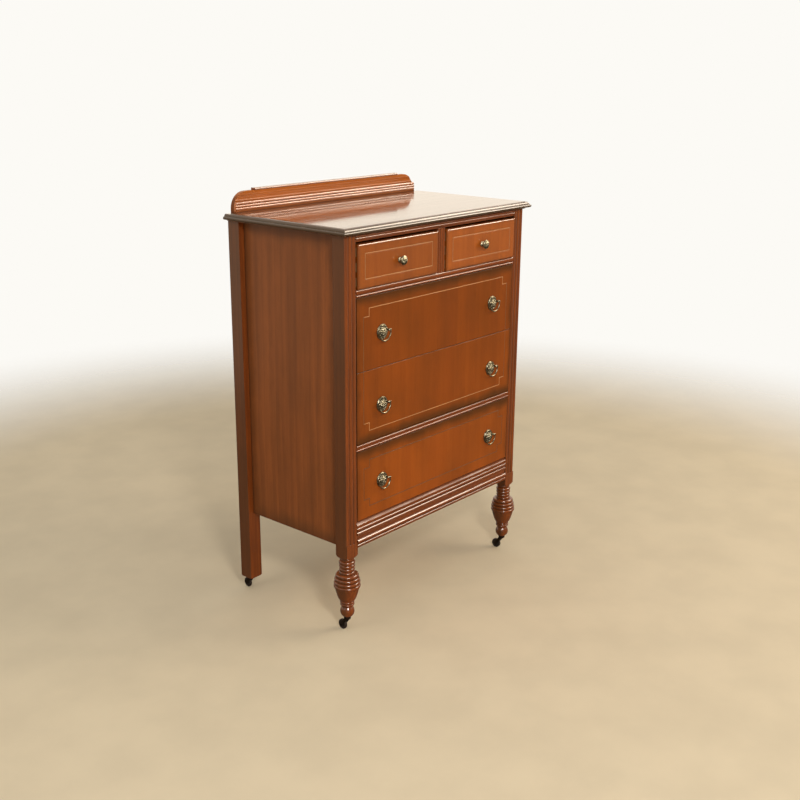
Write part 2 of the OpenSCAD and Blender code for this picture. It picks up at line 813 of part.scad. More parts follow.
// Round plates with their posts and bolts, and the bails that hang from them
pull_bolt_d = 5;
nut_t = 3;
module pull_holes(d) {
    for (side = [-1, 1], post_side = [-1, 1])
        translate([side * pull_x + post_side * pull_posts / 2, d[6] - past, mid_z(d)]) rotate([-90, 0, 0])
            cylinder(h = front_t + 2 * past, r = pull_bolt_d / 2 + pivot_gap, $fn = round_fn);
}
module pull_plate() {
    r = plate_d / 2;
    dome_r = 17;
    dome_h = 8.6;
    post_out = pivot_out + bail_pin / 2 + 1.6;
    difference() {
        union() {
            translate([0, -plate_drop, 0]) rotate_extrude($fn = round_fn) {
                plate2d(0, r - 0.8, 0, 1.6);
                dot(r - 1.2, 1.2, 1.2);
                dot(r - 5, 1.4, 1.4);
                intersection() {
                    dot(0, dome_h - dome_r, dome_r);
                    plate2d(0, r * 0.62, 0, dome_h + past);
                }
                intersection() {
                    dot(0, dome_h - 1, 2.4);
                    plate2d(0, 3, 0, dome_h + 3);
                }
            }
            for (x = [-1, 1]) translate([x * pull_posts / 2, 0, 0]) {
                cylinder(h = post_out, r = pull_post_d / 2, $fn = round_fn);
                translate([0, 0, -front_t - nut_t])
                    cylinder(h = front_t + nut_t + 1, r = pull_bolt_d / 2, $fn = round_fn);
                translate([0, 0, -front_t - nut_t])
                    cylinder(h = nut_t, r = 5.5, $fn = 6);
            }
        }
        for (x = [-1, 1]) translate([x * pull_posts / 2, 0, pivot_out]) rotate([0, 90, 0])
            cylinder(h = pull_post_d + 2 * past, r = bail_pin / 2 + pivot_gap, center = true, $fn = round_fn);
    }
}
module plates(d) {
    color(old_brass) for (side = [-1, 1])
        translate([side * pull_x, d[6], mid_z(d)]) rotate([90, 0, 0]) pull_plate();
}
// A bail ends in two barrels beside the posts, with its pins on them
module bail(d, side) {
    barrel_r = bail_wire / 2 + 0.4;
    barrel_l = bail_wire + 0.4;
    barrel_in = pull_posts / 2 + pull_post_d / 2 + 0.3;
    end_x = barrel_in + barrel_l / 2;
    ring_r = norm([end_x, plate_drop]);
    rise = asin(plate_drop / ring_r);
    pin_in = pull_posts / 2 - pull_post_d / 2 + 0.5;
    color(old_brass) translate([side * pull_x, d[6] - pivot_out, mid_z(d)]) union() {
        translate([0, 0, -plate_drop]) rotate([90, 0, 0]) rotate([0, 0, 180 - rise])
            rotate_extrude(angle = 180 + 2 * rise, $fn = round_fn) dot(ring_r, 0, bail_wire / 2);
        both_sides() {
            translate([barrel_in, 0, 0]) rotate([0, 90, 0])
                cylinder(h = barrel_l, r = barrel_r, $fn = round_fn);
            translate([pin_in, 0, 0]) rotate([0, 90, 0])
                cylinder(h = barrel_in - pin_in + 1, r = bail_pin / 2, $fn = round_fn);
        }
    }
}

// Casters: a socket in the leg, a fork that swivels in it and a wheel
module at_leg(side, y) {
    translate([side * leg_x, y, 0]) children();
}
module caster_sockets() {
    color(iron) for (side = [-1, 1], y = [leg_front_y, leg_rear_y]) at_leg(side, y) difference() {
        union() {
            translate([0, 0, foot_z - flange_t]) cylinder(h = flange_t, r = sleeve_r + 4.5, $fn = round_fn);
            translate([0, 0, foot_z - flange_t])
                cylinder(h = flange_t + stem_l + 2, r = sleeve_r, $fn = round_fn);
        }
        translate([0, 0, foot_z - flange_t - past])
            cylinder(h = flange_t + stem_l + 1 + past, r = stem_d / 2 + pivot_gap, $fn = round_fn);
    }
}
axle_z = wheel_d / 2;
crown_t = 3;
crown_z = foot_z - flange_t - run_gap - crown_t;
cheek_in = wheel_w / 2 + wheel_gap;
module caster(side, y) {
    cheek_r = 5;
    color(iron) at_leg(side, y) rotate([0, 0, side * caster_turn]) union() {
        translate([0, 0, crown_z]) cylinder(h = crown_t, r = sleeve_r + 4, $fn = round_fn);
        translate([0, 0, crown_z]) cylinder(h = foot_z + stem_l - crown_z, r = stem_d / 2, $fn = round_fn);
        for (x = [-cheek_in - cheek_t, cheek_in]) along_x(x, x + cheek_t) {
            polygon([[-6, crown_z + 1], [7, crown_z + 1], [trail + cheek_r * 0.93, axle_z + cheek_r * 0.37],
                     [trail - cheek_r * 0.8, axle_z - cheek_r * 0.6]]);
            dot(trail, axle_z, cheek_r);
        }
        translate([0, trail, axle_z]) rotate([0, 90, 0]) {
            cylinder(h = 2 * (cheek_in + cheek_t), r = axle_d / 2, center = true, $fn = round_fn);
            for (end = [-1, 1]) translate([0, 0, end * (cheek_in + cheek_t + 0.4)])
                cylinder(h = 1.2, r = axle_d / 2 + 1, center = true, $fn = round_fn);
        }
    }
}
module wheel(side, y) {
    r = wheel_d / 2;
    half = wheel_w / 2;
    color(iron) at_leg(side, y) rotate([0, 0, side * caster_turn]) translate([0, trail, axle_z])
        rotate([0, 90, 0]) rotate_extrude($fn = round_fn) difference() {
            union() {
                plate2d(0, r - wheel_round, -half, half);
                plate2d(0, r, -half + wheel_round, half - wheel_round);
                for (end = [-1, 1])
                    dot(r - wheel_round, end * (half - wheel_round), wheel_round);
            }
            plate2d(-past, axle_d / 2 + pivot_gap, -half - past, half + past);
            for (end = [-1, 1])
                plate2d(r * 0.4, r * 0.74, end > 0 ? half - 1.5 : -half - past, end > 0 ? half + past : 1.5 - half);
        }
}

post_front(-1);  // post_front_left
post_front(1);  // post_front_right
post_rear(-1);  // post_rear_left
post_rear(1);  // post_rear_right
side_panel(-1);  // side_panel_left
side_panel(1);  // side_panel_right
back_panel();
top_board();
gallery_board();
gallery_moulding();
gallery_cap();
top_rail();
drawer_divider();
upper_rail();
middle_rail();
lower_rail();
base_moulding();
rear_rails();
drawer_runners();
drawer_stops();
caster_sockets();
color(figured) drawer_front(small_left) {  // small_left_front
        knob_hole(small_left);
        line_cut(small_left) small_line_outline(small_left, joint_gap / 2);
    }
drawer_box(small_left);  // small_left_box
drawer_bottom(small_left);  // small_left_bottom
line_fill(small_left) small_line_outline(small_left, 0);  // small_left_inlay
knob(small_left);  // knob_left
color(figured) drawer_front(small_right) {  // small_right_front
        knob_hole(small_right);
        line_cut(small_right) small_line_outline(small_right, joint_gap / 2);
    }
drawer_box(small_right);  // small_right_box
drawer_bottom(small_right);  // small_right_bottom
line_fill(small_right) small_line_outline(small_right, 0);  // small_right_inlay
knob(small_right);  // knob_right
color(figured) drawer_front(upper_drawer) {  // upper_front
        pull_holes(upper_drawer);
        line_cut(upper_drawer) wide_line(upper_drawer, false, true, joint_gap / 2);
    }
drawer_box(upper_drawer);  // upper_box
drawer_bottom(upper_drawer);  // upper_bottom
line_fill(upper_drawer) wide_line(upper_drawer, false, true, 0);  // upper_inlay
plates(upper_drawer);  // upper_plates
bail(upper_drawer, -1);  // upper_bail_left
bail(upper_drawer, 1);  // upper_bail_right
color(figured) drawer_front(middle_drawer) {  // middle_front
        pull_holes(middle_drawer);
        line_cut(middle_drawer) wide_line(middle_drawer, true, false, joint_gap / 2);
    }
drawer_box(middle_drawer);  // middle_box
drawer_bottom(middle_drawer);  // middle_bottom
line_fill(middle_drawer) wide_line(middle_drawer, true, false, 0);  // middle_inlay
plates(middle_drawer);  // middle_plates
bail(middle_drawer, -1);  // middle_bail_left
bail(middle_drawer, 1);  // middle_bail_right
color(figured) drawer_front(lower_drawer) {  // lower_front
        pull_holes(lower_drawer);
        line_cut(lower_drawer) wide_line(lower_drawer, false, false, joint_gap / 2);
    }
drawer_box(lower_drawer);  // lower_box
drawer_bottom(lower_drawer);  // lower_bottom
line_fill(lower_drawer) wide_line(lower_drawer, false, false, 0);  // lower_inlay
plates(lower_drawer);  // lower_plates
bail(lower_drawer, -1);  // lower_bail_left
bail(lower_drawer, 1);  // lower_bail_right
caster(-1, leg_front_y);  // caster_front_left
caster(1, leg_front_y);  // caster_front_right
caster(-1, leg_rear_y);  // caster_rear_left
caster(1, leg_rear_y);  // caster_rear_right
wheel(-1, leg_front_y);  // wheel_front_left
wheel(1, leg_front_y);  // wheel_front_right
wheel(-1, leg_rear_y);  // wheel_rear_left
wheel(1, leg_rear_y);  // wheel_rear_right
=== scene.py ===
import logging
import math
from dataclasses import dataclass, replace
from enum import Enum
from typing import Any, Sequence

import bmesh
import bpy
from mathutils import Matrix, Vector


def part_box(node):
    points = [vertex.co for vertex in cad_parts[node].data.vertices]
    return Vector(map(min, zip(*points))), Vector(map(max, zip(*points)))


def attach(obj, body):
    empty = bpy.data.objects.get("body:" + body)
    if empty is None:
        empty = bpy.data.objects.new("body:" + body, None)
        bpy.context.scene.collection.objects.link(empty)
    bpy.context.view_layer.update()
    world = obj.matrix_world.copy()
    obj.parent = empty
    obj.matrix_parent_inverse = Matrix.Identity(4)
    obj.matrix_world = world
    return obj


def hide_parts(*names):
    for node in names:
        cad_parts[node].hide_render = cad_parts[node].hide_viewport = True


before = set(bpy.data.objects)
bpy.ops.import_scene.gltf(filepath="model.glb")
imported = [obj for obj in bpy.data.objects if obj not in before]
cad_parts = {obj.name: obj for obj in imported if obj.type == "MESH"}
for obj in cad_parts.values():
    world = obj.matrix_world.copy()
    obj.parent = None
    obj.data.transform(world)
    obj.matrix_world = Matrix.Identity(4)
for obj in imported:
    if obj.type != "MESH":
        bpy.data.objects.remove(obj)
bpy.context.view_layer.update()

log = logging.getLogger("chest")
Colour = tuple[float, float, float]
Point = tuple[float, float]
Place = tuple[float, float, float]
Socket = bpy.types.NodeSocket
FLOAT, VECTOR = "NodeSocketFloat", "NodeSocketVector"
GEOMETRY, MATERIAL = "NodeSocketGeometry", "NodeSocketMaterial"
MM = 0.001
FAR = 2.0  # Further away than any side of the chest.
SIDES = ("left", "right")
CORNERS = tuple(f"{place}_{side}" for place in ("front", "rear") for side in SIDES)


def srgb(red: int, green: int, blue: int) -> Colour:
    """Turns a screen colour into a linear one.

    Args:
        red: Red, from 0 to 255.
        green: Green, from 0 to 255.
        blue: Blue, from 0 to 255.

    Returns:
        The linear colour.
    """
    def linear(value: float) -> float:
        """Gives one linear channel."""
        return value / 12.92 if value <= 0.04045 else ((value + 0.055) / 1.055) ** 2.4

    return tuple(linear(v / 255) for v in (red, green, blue))


def scaled(colour: Colour, factor: float) -> Colour:
    """Gives a colour made darker or lighter."""
    return tuple(factor * c for c in colour)


class Tree:
    """Adds nodes to a shader or geometry tree and joins them."""

    def __init__(self, nodes: bpy.types.NodeTree) -> None:
        """Takes the tree to build in."""
        self.nodes = nodes

    def add(self, kind: str, inputs: dict[Any, Any] | None = None, **settings: Any) -> bpy.types.Node:
        """Adds one node.

        Args:
            kind: The node's type name.
            inputs: Values or output sockets, by input name or index.
            settings: The node's own settings.

        Returns:
            The node.
        """
        node = self.nodes.nodes.new(kind)
        for name, value in settings.items():
            setattr(node, name, value)
        for name, value in (inputs or {}).items():
            self.set(node.inputs[name], value)
        return node

    def set(self, socket: Socket, value: Any) -> None:
        """Links a socket to an output, or gives it a constant."""
        if isinstance(value, Socket):
            self.nodes.links.new(value, socket)
        elif socket.type == "RGBA":
            socket.default_value = (*value, 1.0) if len(value) == 3 else value
        else:
            socket.default_value = value

    def math(self, operation: str, a: Any, b: Any = 0.0, clamp: bool = False) -> Socket:
        """Gives a sum, product or other function of two values."""
        return self.add("ShaderNodeMath", {0: a, 1: b}, operation=operation, use_clamp=clamp).outputs[0]

    def vector(self, operation: str, a: Any, b: Any = (0, 0, 0)) -> Socket:
        """Gives a function of two vectors, as a value for a length or dot product."""
        node = self.add("ShaderNodeVectorMath", {0: a, 1: b}, operation=operation)
        return node.outputs[1 if operation in ("LENGTH", "DOT_PRODUCT") else 0]

    def step(self, value: Any, low: float, high: float) -> Socket:
        """Gives 0 below low and 1 above high, with a smooth rise between."""
        return self.add("ShaderNodeMapRange", {"Value": value, "From Min": low, "From Max": high},
                        interpolation_type="SMOOTHSTEP").outputs[0]

    def mix(self, share: Any, a: Any, b: Any) -> Socket:
        """Gives a mix of two colours."""
        node = self.add("ShaderNodeMix", {0: share, 6: a, 7: b}, data_type="RGBA", clamp_factor=True)
        return node.outputs[2]

    def tinted(self, colour: Any, other: Any, mask: Any, share: Any) -> Socket:
        """Gives a colour that turns to another by a share of a mask."""
        return self.mix(self.math("MULTIPLY", mask, share), colour, other)

    def between(self, share: Any, a: Any, b: Any) -> Socket:
        """Gives a value between two values."""
        return self.add("ShaderNodeMix", {0: share, 2: a, 3: b}, data_type="FLOAT").outputs[0]

    def noise(self, place: Any, scale: Any, detail: float, roughness: float = 0.5) -> Socket:
        """Gives a cloudy pattern from 0 to 1."""
        return self.add("ShaderNodeTexNoise", {"Vector": place, "Scale": scale, "Detail": detail,
                                               "Roughness": roughness}).outputs["Fac"]

    def parts(self, vector: Any) -> Sequence[Socket]:
        """Gives the three parts of a vector."""
        return self.add("ShaderNodeSeparateXYZ", {0: vector}).outputs

    def combined(self, x: Any = 0.0, y: Any = 0.0, z: Any = 0.0) -> Socket:
        """Gives the vector of three values."""
        return self.add("ShaderNodeCombineXYZ", {0: x, 1: y, 2: z}).outputs[0]

    def moved(self, shape: Any, place: Any = (0.0, 0.0, 0.0), turn: Place = (0.0, 0.0, 0.0)) -> Socket:
        """Gives a shape that is turned and then moved."""
        return self.add("GeometryNodeTransform", {"Geometry": shape, "Translation": place,
                                                  "Rotation": turn}).outputs[0]

    def joined(self, *shapes: Socket) -> Socket:
        """Gives several shapes as one."""
        node = self.add("GeometryNodeJoinGeometry")
        for shape in shapes:
            self.set(node.inputs[0], shape)
        return node.outputs[0]

    def rounded(self, shape: Socket) -> Socket:
        """Gives a shape with smooth shading."""
        return self.add("GeometryNodeSetShadeSmooth", {"Geometry": shape, "Shade Smooth": True}).outputs[0]

    def group(self, tree: bpy.types.NodeTree, inputs: dict[str, Any]) -> bpy.types.Node:
        """Places a shader group with its own values."""
        return self.add("ShaderNodeGroup", inputs, node_tree=tree)

    def bumped(self, height: Any, strength: float, distance: float, normal: Any) -> Socket:
        """Gives the normal of a surface with small hollows and ridges."""
        return self.add("ShaderNodeBump", {"Height": height, "Strength": strength, "Distance": distance,
                                           "Normal": normal}).outputs["Normal"]


def new_group(name: str, kind: str, inputs: dict[str, float | str],
              outputs: dict[str, str]) -> tuple[Tree, dict[str, Any], bpy.types.Node]:
    """Starts a node group with named sockets.

    Args:
        name: The group's name.
        kind: ShaderNodeTree or GeometryNodeTree.
        inputs: The first value of a plain number, or another socket's type, by name.
        outputs: Socket type, by name.

    Returns:
        The tree, its inputs by name, and its output node.
    """
    tree = bpy.data.node_groups.new(name, kind)
    for label, value in inputs.items():
        number = not isinstance(value, str)
        socket_type = FLOAT if number else value
        socket = tree.interface.new_socket(label, in_out="INPUT", socket_type=socket_type)
        if number:
            socket.default_value = value
    for label, socket_type in outputs.items():
        tree.interface.new_socket(label, in_out="OUTPUT", socket_type=socket_type)
    built = Tree(tree)
    source = built.add("NodeGroupInput")
    return built, {label: source.outputs[label] for label in inputs}, built.add("NodeGroupOutput")


def new_material(name: str) -> tuple[bpy.types.Material, Tree, dict[str, Socket]]:
    """Starts a material.

    Args:
        name: Its name.

    Returns:
        The material, its tree, and its shader's inputs.
    """
    material = bpy.data.materials.new(name)
    material.use_nodes = True
    return material, Tree(material.node_tree), material.node_tree.nodes["Principled BSDF"].inputs


class Grain(Enum):
    """Which way the grain of a piece runs, as the turn that lays it along Z."""

    UP = (0.0, 0.0, 0.0)
    ALONG = (0.0, -math.pi / 2, 0.0)
    DEEP = (math.pi / 2, 0.0, 0.0)


class Effects:
    """The shader groups that the finishes share, each built once.

    A stretch draws a pattern out along the grain, and a range says where a mask starts and where it is full.
    """

    DRIFT_STRETCH = (7.0, 7.0, 1.6)
    RING_STRETCH = (1.0, 1.0, 0.07)
    RING_WIDTH = 2 * math.pi / 20.0  # How wide a ring of the wave texture is at a scale of 1.
    STREAK_STRETCH = (1.0, 1.0, 0.035)
    STREAK_RANGE = (0.32, 0.68)
    PORE_STRETCH = (1.0, 1.0, 0.03)
    PORE_SCALE = 1100.0
    PORE_RANGE = (0.60, 0.72)
    CLOUD_STRETCH = (1.0, 1.0, 0.5)
    CLOUD_SCALE = 9.0
    CLOUD_RANGE = (0.3, 0.7)
    WOBBLE = 0.7
    WOBBLE_SCALE = 14.0
    EDGE_RANGE = (0.03, 0.25)
    PATCH_SCALE = 45.0
    PATCH_RANGE = (0.42, 0.62)
    OPEN_RANGE = (0.35, 0.95)
    # Noise that makes the painted shade in closed-in places uneven.
    DIRT_AND_SHADE_SCALE = 80.0
    DIRT_LEAST, DIRT_MOST = 0.75, 1.1

    def __init__(self) -> None:
        """Builds every group."""
        self.grain = self._grain()
        self.border = self._border()
        self.wear_and_highlight = self._wear_and_highlight()
        self.recess = self._recess()

    def _grain(self) -> bpy.types.NodeTree:
        """Wood grain along Z: figure, fine streaks and pores.

        Returns:
            The group.
        """
        t, given, out = new_group(
            "Wood Grain", "ShaderNodeTree",
            {"Vector": VECTOR, "Ring Gap": 0.012, "Warp": 0.02, "Streaks": 60.0},
            {"Figure": FLOAT, "Streak": FLOAT, "Pores": FLOAT, "Cloud": FLOAT})
        place = given["Vector"]
        slow = t.vector("MULTIPLY", place, self.DRIFT_STRETCH)
        drift = t.add("ShaderNodeTexNoise", {"Vector": slow, "Scale": 1.0, "Detail": 3.0}).outputs["Color"]
        drift = t.vector("SUBTRACT", drift, (0.5, 0.5, 0.5))
        warp = t.add("ShaderNodeVectorMath", {0: drift, "Scale": given["Warp"]}, operation="SCALE")
        bent = t.vector("ADD", place, warp.outputs[0])
        rings = t.add("ShaderNodeTexWave",
                      {"Vector": t.vector("MULTIPLY", bent, self.RING_STRETCH),
                       "Scale": t.math("DIVIDE", self.RING_WIDTH, given["Ring Gap"]), "Distortion": 1.5,
                       "Detail": 2.0, "Detail Scale": 0.6},
                      wave_type="RINGS", rings_direction="SPHERICAL", wave_profile="SAW").outputs["Fac"]
        streak = t.noise(t.vector("MULTIPLY", bent, self.STREAK_STRETCH), given["Streaks"], 6.0, 0.65)
        pores = t.noise(t.vector("MULTIPLY", place, self.PORE_STRETCH), self.PORE_SCALE, 2.0)
        cloud = t.noise(t.vector("MULTIPLY", place, self.CLOUD_STRETCH), self.CLOUD_SCALE, 3.0)
        t.set(out.inputs["Figure"], rings)
        t.set(out.inputs["Streak"], t.step(streak, *self.STREAK_RANGE))
        t.set(out.inputs["Pores"], t.step(pores, *self.PORE_RANGE))
        t.set(out.inputs["Cloud"], t.step(cloud, *self.CLOUD_RANGE))
        return t.nodes

    def _border(self) -> bpy.types.NodeTree:
        """How near a point is to the sides of a box, from 1 at a side to 0 further in.

        Returns:
            The group.
        """
        t, given, out = new_group(
            "Border", "ShaderNodeTree", {"Vector": VECTOR, "Low": VECTOR, "High": VECTOR, "Width": 0.03},
            {"Mask": FLOAT})
        to_low = t.vector("SUBTRACT", given["Vector"], given["Low"])
        to_high = t.vector("SUBTRACT", given["High"], given["Vector"])
        nearest = t.parts(t.vector("MINIMUM", to_low, to_high))
        least = t.math("MINIMUM", t.math("MINIMUM", nearest[0], nearest[1]), nearest[2])
        wobble = t.math("SUBTRACT", t.noise(given["Vector"], self.WOBBLE_SCALE, 2.0), 0.5)
        share = t.math("DIVIDE", least, given["Width"])
        shifted = t.math("ADD", share, t.math("MULTIPLY", wobble, self.WOBBLE))
        t.set(out.inputs["Mask"], t.math("SUBTRACT", 1.0, t.step(shifted, 0.0, 1.0)))
        return t.nodes

    def _wear_and_highlight(self) -> bpy.types.NodeTree:
        """Where an edge is marked, and how it is rounded: scuffing on most finishes, a painted highlight on
        the top's edge.

        Returns:
            The group.
        """
        t, given, out = new_group(
            "Edge Wear and Highlight", "ShaderNodeTree", {"Vector": VECTOR, "Radius": 0.0015},
            {"Mask": FLOAT, "Normal": VECTOR})
        soft = t.add("ShaderNodeBevel", {"Radius": given["Radius"]}, samples=4).outputs["Normal"]
        true = t.add("ShaderNodeNewGeometry").outputs["Normal"]
        edge = t.step(t.math("SUBTRACT", 1.0, t.vector("DOT_PRODUCT", soft, true)), *self.EDGE_RANGE)
        patches = t.step(t.noise(given["Vector"], self.PATCH_SCALE, 4.0), *self.PATCH_RANGE)
        t.set(out.inputs["Mask"], t.math("MULTIPLY", edge, patches))
        t.set(out.inputs["Normal"], soft)
        return t.nodes

    def _recess(self) -> bpy.types.NodeTree:
        """Where corners, gaps and the hollows between reeds are closed in, from ambient occlusion with some
        noise: the wood finishes paint shade there, partly standing for toning lacquer left in them, and the
        metal darkens its hollows.

        Returns:
            The group.
        """
        t, given, out = new_group(
            "Recess", "ShaderNodeTree", {"Vector": VECTOR, "Distance": 0.008}, {"Mask": FLOAT})
        seen = t.add("ShaderNodeAmbientOcclusion", {"Distance": given["Distance"]}, samples=6).outputs["AO"]
        shut = t.math("SUBTRACT", 1.0, t.step(seen, *self.OPEN_RANGE))
        dirt_and_shade = t.add("ShaderNodeMapRange", {"Value": t.noise(given["Vector"], self.DIRT_AND_SHADE_SCALE, 3.0),
                                            "To Min": self.DIRT_LEAST, "To Max": self.DIRT_MOST}).outputs[0]
        t.set(out.inputs["Mask"], t.math("MULTIPLY", shut, dirt_and_shade, clamp=True))
        return t.nodes


@dataclass(frozen=True)
class Border:
    """A toned band inside the sides of a box, in metres; a side that is far away has none."""

    width: float
    share: float
    low: Place = (-FAR, -FAR, -FAR)
    high: Place = (FAR, FAR, FAR)


@dataclass(frozen=True)
class WoodFinish:
    """Lacquered or bare wood."""

    name: str
    light: Colour
    dark: Colour
    tone: Colour
    ring_gap: float = 0.012
    figure: float = 0.35
    streaks: float = 60.0
    streak: float = 0.5
    roughness: float = 0.36
    specular: float = 0.2
    coat: float = 0.4
    coat_roughness: float = 0.14
    coat_ior: float = 1.5
    # How strongly closed-in places are darkened: painted shade, partly toning lacquer left there.
    glaze_and_shade: float = 0.5
    glaze_and_shade_depth: float = 0.35
    side_tone_and_shade: float = 0.0
    edge_coat: float | None = None
    band_coat: float | None = None
    wear_and_highlight: float = 0.25
    cloud: float = 0.22
    rounding: float = 0.0012
    # Colour of marked edges, set only for the top, where it paints a highlight.
    edge_highlight: Colour | None = None
    pores: float = 0.28
    pore_depth: float = 0.3
    pore_hollow: float = 0.6
    streak_shine: float = 0.03
    streak_dull: float = 0.05
    bump: float = 0.12
    bump_height: float = 0.0003
    sideways: Point = (0.5, 0.9)
    upwards: Point = (0.9, 0.99)

    def shaded(self, factor: float) -> "WoodFinish":
        """Gives a copy of the finish, lighter or darker by a factor: for drawer fronts a little, and for the
        middle rail behind the drawer gap very dark, as painted shadow.
        """
        return replace(self, light=scaled(self.light, factor), dark=scaled(self.dark, factor))

    def material(self, effects: Effects, grain: Grain, offset: Place = (0.0, 0.0, 0.0),
                 border: Border | None = None, label: str = "") -> bpy.types.Material:
        """Builds the finish for one piece.

        Args:
            effects: The shared shader groups.
            grain: Which way the grain runs.
            offset: Where in the tree the piece was cut, so that pieces differ.
            border: The toned band, where the piece has one.
            label: What sets this piece's material apart from others of the finish.

        Returns:
            The material.
        """
        material, t, shader = new_material("_".join(filter(None, [self.name, label])))
        spot = t.add("ShaderNodeTexCoord").outputs
        place, facing = spot["Object"], spot["Normal"]
        laid = t.add("ShaderNodeMapping", {"Vector": place, "Rotation": grain.value,
                                           "Location": offset}).outputs[0]
        wood = t.group(effects.grain, {"Vector": laid, "Ring Gap": self.ring_gap,
                                       "Streaks": self.streaks}).outputs
        edge_marks = t.group(effects.wear_and_highlight, {"Vector": place, "Radius": self.rounding}).outputs
        colour = t.tinted(self.light, self.dark, wood["Streak"], self.streak)
        colour = t.tinted(colour, self.dark, wood["Figure"], self.figure)
        colour = t.tinted(colour, self.tone, wood["Cloud"], self.cloud)
        coat = self.coat
        if border:
            band = t.group(effects.border, {"Vector": place, "Low": border.low, "High": border.high,
                                            "Width": border.width}).outputs["Mask"]
            colour = t.tinted(colour, self.tone, band, border.share)
            if self.band_coat is not None:
                coat = t.between(band, self.coat, self.band_coat)
        # Faces that point along X are darker: partly a toned finish, partly painted shade on the sides.
        if self.side_tone_and_shade:
            side = t.step(t.math("ABSOLUTE", t.parts(facing)[0]), *self.sideways)
            colour = t.tinted(colour, self.tone, side, self.side_tone_and_shade)
        # Marked edges take a lighter colour: scuffing on most finishes, a painted highlight on the top.
        colour = t.tinted(colour, self.edge_highlight or self.light, edge_marks["Mask"], self.wear_and_highlight)
        if self.edge_coat is not None:
            coat = t.between(t.step(t.parts(facing)[2], *self.upwards), self.edge_coat, self.coat)
        # Painted shade: darker colour in corners, gaps and between reeds, and less coat there so they show
        # no reflection; partly toning lacquer left in them.
        if self.glaze_and_shade:
            shut = t.group(effects.recess, {"Vector": place}).outputs["Mask"]
            colour = t.tinted(colour, scaled(self.tone, self.glaze_and_shade_depth), shut, self.glaze_and_shade)
            if self.coat:
                coat = t.math("MULTIPLY", coat, t.math("SUBTRACT", 1.0, shut))
        colour = t.tinted(colour, scaled(self.dark, self.pore_depth), wood["Pores"], self.pores)
        t.set(shader["Base Color"], colour)
        shiny, dull = self.roughness - self.streak_shine, self.roughness + self.streak_dull
        t.set(shader["Roughness"], t.between(wood["Streak"], shiny, dull))
        t.set(shader["Specular IOR Level"], self.specular)
        t.set(shader["Coat Weight"], coat)
        t.set(shader["Coat Roughness"], self.coat_roughness)
        t.set(shader["Coat IOR"], self.coat_ior)
        height = t.math("ADD", t.math("MULTIPLY", wood["Pores"], -self.pore_hollow), wood["Streak"])
        t.set(shader["Normal"], t.bumped(height, self.bump, self.bump_height, edge_marks["Normal"]))
        return material


@dataclass(frozen=True)
class MetalFinish:
    """Aged metal, brighter at its scuffed edges and darker in its recesses."""

    name: str
    bright: Colour
    dull: Colour
    pit: Colour
    roughness: float
    metallic: float = 1.0
    blotches: float = 260.0
    rounding: float = 0.0006
    pit_reach: float = 0.003
    pit_metal: float = 0.4
    dull_roughness: float = 0.25
    bump: float = 0.25
    bump_height: float = 0.0002

    def material(self, effects: Effects) -> bpy.types.Material:
        """Builds the finish.

        Args:
            effects: The shared shader groups.

        Returns:
            The material.
        """
        material, t, shader = new_material(self.name)
        place = t.add("ShaderNodeTexCoord").outputs["Object"]
        blotch = t.noise(place, self.blotches, 5.0, 0.6)
        edge_marks = t.group(effects.wear_and_highlight, {"Vector": place, "Radius": self.rounding}).outputs
        shut = t.group(effects.recess, {"Vector": place, "Distance": self.pit_reach}).outputs["Mask"]
        colour = t.mix(t.step(blotch, 0.35, 0.65), self.bright, self.dull)
        colour = t.mix(edge_marks["Mask"], colour, self.bright)
        t.set(shader["Base Color"], t.mix(shut, colour, self.pit))
        t.set(shader["Metallic"], t.between(shut, self.metallic, self.metallic * self.pit_metal))
        t.set(shader["Roughness"], t.between(blotch, self.roughness, self.roughness + self.dull_roughness))
        t.set(shader["Normal"], t.bumped(blotch, self.bump, self.bump_height, edge_marks["Normal"]))
        return material


POST = WoodFinish(
    "post_wood", srgb(156, 78, 26), srgb(102, 47, 14), srgb(70, 48, 28), ring_gap=0.009, streaks=90.0,
    coat=0.8, coat_roughness=0.08, glaze_and_shade=0.45, side_tone_and_shade=0.65)
PANEL = WoodFinish(
    "panel_wood", srgb(150, 84, 40), srgb(106, 58, 26), srgb(78, 49, 27), ring_gap=0.02, figure=0.25,
    streaks=40.0, coat=0.25, coat_roughness=0.2)
# The top's light edge colour is a painted highlight along its moulded edge.
TOP = WoodFinish(
    "top_wood", srgb(128, 66, 30), srgb(90, 44, 18), srgb(78, 59, 42), ring_gap=0.02, streaks=50.0,
    roughness=0.14, specular=0.1, coat=1.0, coat_roughness=0.07, coat_ior=2.0, edge_coat=0.35, wear_and_highlight=0.8,
    edge_highlight=srgb(226, 178, 138))
GALLERY = WoodFinish(
    "gallery_wood", srgb(210, 118, 44), srgb(166, 82, 24), srgb(110, 58, 22), ring_gap=0.02, streaks=50.0,
    specular=0.08, coat=0.2, coat_roughness=0.12, glaze_and_shade=0.6, side_tone_and_shade=0.9)
REEDED = WoodFinish(
    "moulding_wood", srgb(206, 118, 56), srgb(160, 82, 34), srgb(110, 60, 30), ring_gap=0.008, streaks=90.0,
    specular=0.08, coat=0.8, coat_roughness=0.06, coat_ior=1.8, band_coat=0.12, glaze_and_shade=0.8)
MOULDING = WoodFinish(
    "moulding_wood", srgb(158, 80, 32), srgb(110, 50, 16), srgb(74, 43, 23), ring_gap=0.008, streaks=90.0,
    specular=0.08, coat=1.0, coat_roughness=0.06, coat_ior=1.8, band_coat=0.05)
RAIL = replace(MOULDING, coat=0.5)
BASE = replace(MOULDING, coat=0.8)
